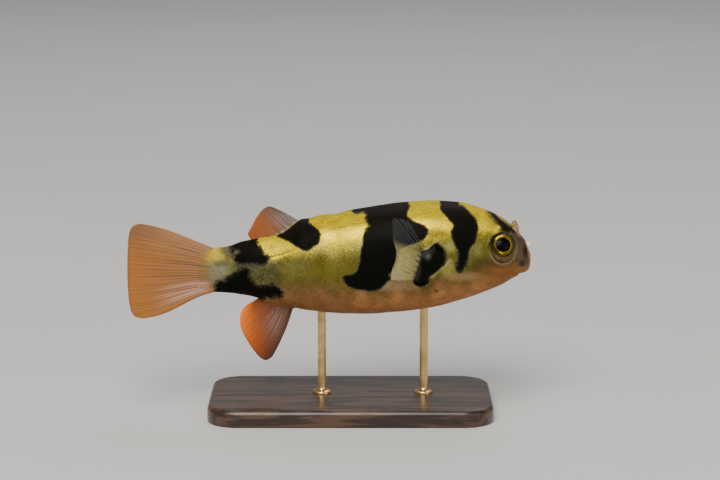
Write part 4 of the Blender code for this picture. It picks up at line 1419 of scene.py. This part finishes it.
def fin_finish(name, colours):
    """Moist fin membrane with a fine grain, in the colours of one fin."""
    make = Finish(name, Roughness=0.44, IOR=1.38, Specular_IOR_Level=0.25)
    make.feed("Base Color", fin_colour(make, **colours))
    make.flesh(0.15, (1.0, 0.5, 0.3), 0.3)
    make.feed("Normal", make.bump(make.noise(make.place(), 0.3, 2.0), 0.02))
    return make.material


def pectoral_finish():
    """Clear fin: blue-grey above and beige below, with paler rays and a pale lowest edge."""
    make = Finish("clear_fin", Roughness=0.4, IOR=1.36, Specular_IOR_Level=0.05)
    across = make.field("across")
    lower = make.times_plus(make.field("along"), -0.3, make.maths("ADD", across, 0.3))
    lower = make.spread(lower, 0.46, 0.62)
    rays = make.spread(make.field("ridge"), 0.5, 0.95)
    web = make.between(lower, (0.012, 0.016, 0.016), (0.40, 0.34, 0.13))
    ray = make.between(lower, (0.105, 0.120, 0.120), (0.64, 0.55, 0.26))
    last = make.spread(across, 0.80, 0.97)
    make.feed("Base Color", make.between(last, make.between(rays, web, ray), (0.52, 0.40, 0.23)))
    thick = make.spread(rays, 0.0, 1.0, make.blend(lower, 0.06, 0.18), 0.26)
    make.feed("Alpha", make.blend(last, thick, 0.36))
    return make.material


def iris_gold(make, moved, turn, pupil, iris):
    """The iris by angle from the gaze, darker at the rear, with painted highlights at some turns round
    it.
    """
    gold = make.stops(
        make.spread(moved, pupil, iris),
        ((0.0, (0.20, 0.130, 0.001)), (0.35, (0.115, 0.080, 0.001)), (1.0, (0.075, 0.055, 0.002))),
    )
    rear = make.spread(make.facing(turn, math.pi), 0.1, 0.9)
    gold = make.tinted(gold, make.blend(rear, 1.0, 0.4))
    for highlight_turn, low_edge, high_edge, width in IRIS_PAINTED_HIGHLIGHTS:
        # a painted highlight: the gold made brighter where the light from above glints
        shine = make.times(
            make.spread(make.facing(turn, math.radians(highlight_turn)), low_edge, high_edge),
            make.spread(moved, pupil + 1.0, pupil + 3.0),
            make.spread(moved, pupil + 4.0 + width, pupil + 2.0 + width),
        )
        gold = make.between(shine, gold, PAINTED_HIGHLIGHT_GOLD)
    return gold


def eye_finish():
    """Eyeball by angle from its gaze: black pupil, gold iris, dark ring, mottled grey white.

    Painted highlights brighten the gold in a crescent at the top and a spot below. The white turns
    from blue-grey above to brown below.
    """
    make = Finish("puffer_eye", Roughness=0.32, IOR=1.4, Specular_IOR_Level=0.1)
    place = make.place()
    fleck = make.noise(place, 0.22, 3.0)
    spread = make.field("spread")
    moved = make.times_plus(make.less(fleck, 0.5), 3.0, spread)
    pupil, iris = math.degrees(PUPIL_SPREAD), math.degrees(IRIS_SPREAD)
    height = make.node("SeparateXYZ", {0: place}, "Z")
    low = make.spread(height, (EYE_PLACE[2] + 1.4) * MM, (EYE_PLACE[2] - 0.8) * MM)
    white = make.between(low, (0.017, 0.019, 0.018), (0.125, 0.082, 0.036))
    white = make.tinted(white, make.spread(make.noise(place, 0.8, 3.0), 0.35, 0.65, 0.75, 1.2))
    gold = iris_gold(make, moved, make.field("turn"), pupil, iris)
    colour = make.between(make.spread(moved, iris - 3.0, iris + 1.0), gold, (0.045, 0.034, 0.006))
    colour = make.between(make.spread(moved, iris, iris + 4.0), colour, white)
    in_pupil = make.spread(moved, pupil + 0.6, pupil - 0.6)
    colour = make.between(in_pupil, colour, (0.001, 0.001, 0.001))
    make.feed("Base Color", make.tinted(colour, make.spread(fleck, 0.3, 0.7, 0.75, 1.25)))
    on_iris = (make.spread(spread, pupil, pupil + 1.0), make.spread(spread, iris, iris - 3.0))
    make.feed("Metallic", make.times(*on_iris, 0.2))
    relief = make.times(fleck, make.spread(spread, pupil, pupil + 2.0))
    make.feed("Normal", make.bump(relief, 0.03))
    return make.material


def cornea_finish():
    """Clear cornea: lets all light through and mirrors a little, more at a slant."""
    material = bpy.data.materials.new("clear_cornea")
    material.use_nodes = True
    tree = material.node_tree
    tree.nodes.remove(tree.nodes["Principled BSDF"])
    clear = tree.nodes.new("ShaderNodeBsdfTransparent")
    mirror = tree.nodes.new("ShaderNodeBsdfGlossy")
    mirror.inputs["Roughness"].default_value = 0.06
    share = tree.nodes.new("ShaderNodeFresnel")
    share.inputs["IOR"].default_value = 1.08
    mixed = tree.nodes.new("ShaderNodeMixShader")
    tree.links.new(share.outputs[0], mixed.inputs[0])
    tree.links.new(clear.outputs[0], mixed.inputs[1])
    tree.links.new(mirror.outputs[0], mixed.inputs[2])
    tree.links.new(mixed.outputs[0], tree.nodes["Material Output"].inputs["Surface"])
    return material


def horn_finish():
    """Tan-pink skin that turns olive at the tip, with painted shade dark in its hole."""
    make = Finish("nostril_skin", Roughness=0.4, IOR=1.4)
    # the last stop, at the hole in the tip, is painted shade
    tans = (
        (0.0, (0.14, 0.09, 0.04)), (0.35, (0.34, 0.17, 0.09)), (0.7, (0.30, 0.18, 0.07)),
        (0.9, (0.20, 0.14, 0.03)), (1.0, (0.02, 0.012, 0.006)),
    )
    colour = make.stops(make.field("share"), tans)
    grain = make.noise(make.place(), 0.3, 3.0)
    make.feed("Base Color", make.tinted(colour, make.spread(grain, 0.3, 0.7, 0.8, 1.15)))
    make.feed("Normal", make.bump(grain, 0.03))
    return make.material


def tooth_finish():
    """Ivory enamel, pinker towards the gum at the back."""
    make = Finish("beak_enamel", Roughness=0.22, IOR=1.5)
    place = make.place()
    grain = make.noise(place, 0.4, 3.0)
    back = make.node("SeparateXYZ", {0: place}, "X")
    gum = make.spread(back, 37.85 * MM, 37.2 * MM)
    colour = make.between(gum, (1.0, 0.77, 0.62), (0.62, 0.32, 0.20))
    make.feed("Base Color", make.tinted(colour, make.spread(grain, 0.3, 0.7, 0.9, 1.05)))
    make.feed("Normal", make.bump(grain, 0.01))
    return make.material


def walnut_finish():
    """Oiled walnut: long grain along the board, wavy growth rings and small dark pores."""
    make = Finish("oiled_walnut", IOR=1.48, Coat_Weight=0.2, Coat_Roughness=0.2)
    bend = make.noise(make.place((0.25, 1.0, 1.0)), 14.0, 3.0)
    flow = make.noise(make.place((0.10, 1.0, 1.0)), 2.6, 5.0, 0.6, 0.6)
    rings = make.maths("SINE", make.times(make.times_plus(bend, 0.55, make.times(flow, 0.45)), 42.0))
    browns = ((0.0, (0.020, 0.009, 0.005)), (0.5, (0.044, 0.020, 0.010)), (1.0, (0.080, 0.040, 0.020)))
    colour = make.stops(make.spread(rings, -1.0, 1.0), browns)
    pores = make.spread(make.noise(make.place((0.06, 1.0, 1.0)), 0.28, 2.0), 0.62, 0.74)
    make.feed("Base Color", make.between(make.times(pores, 0.6), colour, (0.008, 0.004, 0.002)))
    make.feed("Roughness", make.spread(pores, 0.0, 1.0, 0.36, 0.6))
    make.feed("Normal", make.bump(make.less(1.0, pores), 0.03))
    return make.material


def brass_finish():
    """Turned brass with fine rings from the lathe and a little dulling."""
    make = Finish("turned_brass", Metallic=1.0, IOR=1.45)
    place = make.place()
    rings = make.noise(make.place((0.02, 0.02, 1.0)), 0.12, 2.0)
    dull = make.noise(place, 3.0, 4.0)
    colour = make.between(make.spread(dull, 0.4, 0.7), (0.72, 0.48, 0.20), (0.52, 0.33, 0.13))
    make.feed("Base Color", colour)
    make.feed("Roughness", make.spread(dull, 0.3, 0.7, 0.22, 0.36))
    make.feed("Normal", make.bump(rings, 0.008))
    return make.material


def floor_finish():
    """Pale warm grey paper."""
    make = Finish("pale_floor", Roughness=0.75, IOR=1.4)
    cloud = make.noise(make.place(), 60.0, 4.0)
    make.feed("Base Color", make.between(cloud, (0.60, 0.59, 0.57), (0.66, 0.65, 0.63)))
    return make.material


# ---------------------------------------------------------------- stage, light and camera


def build_floor(finish):
    """A wide square of floor, which is stage and no part of the model."""
    reach = 3.0
    corners = [(-reach, -reach, 0), (reach, -reach, 0), (reach, reach, 0), (-reach, reach, 0)]
    mesh = bpy.data.meshes.new("floor")
    mesh.from_pydata(corners, [], [(0, 1, 2, 3)])
    mesh.materials.append(finish)
    floor = bpy.data.objects.new("floor", mesh)
    bpy.context.scene.collection.objects.link(floor)


def aimed(thing, place, target):
    """Puts a lamp or a camera at a place, in metres, and turns it to look at the target."""
    thing.location = place
    thing.rotation_euler = (Vector(target) - Vector(place)).to_track_quat("-Z", "Y").to_euler()
    bpy.context.scene.collection.objects.link(thing)


def build_lights():
    """A large soft key from above and in front, a smaller top light and weak fills."""
    target = (0.0, 0.0, 0.03)
    lamps = (
        ("key", (-0.18, -0.72, 0.78), 0.70, 12.0, (1.0, 0.97, 0.93)),
        ("top", (-0.02, -0.30, 1.05), 0.35, 2.4, (1.0, 0.98, 0.95)),
        ("fill", (0.80, -0.70, 0.35), 0.60, 1.8, (0.95, 0.97, 1.0)),
        ("back_fill", (0.15, 0.75, 0.85), 0.60, 2.2, (1.0, 1.0, 1.0)),
    )
    for name, place, size, power, colour in lamps:
        lamp = bpy.data.lights.new(name, "AREA")
        lamp.shape = "DISK"
        lamp.size = size
        lamp.energy = power
        lamp.color = colour
        aimed(bpy.data.objects.new(name, lamp), place, target)
    world = bpy.data.worlds.new("studio")
    world.use_nodes = True
    sky = world.node_tree.nodes["Background"]
    sky.inputs["Color"].default_value = (0.78, 0.79, 0.80, 1.0)
    sky.inputs["Strength"].default_value = 0.35
    bpy.context.scene.world = world


def build_camera():
    """Looks at the fish's right side from a little above."""
    target = Vector((WATCH_X, 0.0, WATCH_Z)) * MM
    away = WATCH_DISTANCE * MM * Vector((0.0, -math.cos(WATCH), math.sin(WATCH)))
    lens = bpy.data.cameras.new("camera")
    lens.lens = LENS
    lens.clip_start = 0.01
    camera = bpy.data.objects.new("camera", lens)
    aimed(camera, target + away, target)
    bpy.context.scene.camera = camera


# ---------------------------------------------------------------- making

# The fins' colours are partly their own and partly painted light: their orange also stands for an
# orange light from below and behind that shines through the thin fins.
TAIL_COLOURS = {
    "root": (0.25, 0.125, 0.050),
    "middle": (0.285, 0.120, 0.038),
    "edge": (0.335, 0.120, 0.024),
    "front": (0.33, 0.158, 0.070),
    "streak": (0.120, 0.074, 0.056),
    "base": (0.24, 0.19, 0.08),
    "light": (0.52, 0.31, 0.21),
    "foot": 0.12,
    "fore": 0.4,
    "glow": (0.82, 0.17),
}
DORSAL_COLOURS = {
    "root": (0.25, 0.100, 0.034),
    "middle": (0.285, 0.077, 0.015),
    "edge": (0.31, 0.080, 0.018),
    "front": (0.155, 0.112, 0.090),
    "streak": (0.15, 0.09, 0.07),
    "base": (0.36, 0.32, 0.10),
    "light": (0.21, 0.165, 0.145),
    "foot": 0.18,
    "fore": 0.62,
    "glow": (0.12, 0.25),
}
ANAL_COLOURS = {
    "root": (0.26, 0.095, 0.030),
    "middle": (0.31, 0.075, 0.012),
    "edge": (1.0, 0.20, 0.004),
    "front": (0.105, 0.042, 0.025),
    "streak": (0.22, 0.11, 0.08),
    "base": (0.22, 0.10, 0.03),
    "light": (0.24, 0.14, 0.105),
    "foot": 0.1,
    "fore": 0.9,
    "glow": (0.28, 0.25),
}

build_skin(skin_finish(TAIL_COLOURS))
build_tail_fin(fin_finish("tail_membrane", TAIL_COLOURS))
build_dorsal_fin(fin_finish("dorsal_membrane", DORSAL_COLOURS))
build_anal_fin(fin_finish("anal_membrane", ANAL_COLOURS))
build_pectoral_fins(pectoral_finish())
build_eyes(eye_finish(), cornea_finish())
build_nostrils(horn_finish())
build_beak(tooth_finish())
build_board(walnut_finish())
build_rods(brass_finish())

build_floor(floor_finish())
build_lights()
build_camera()
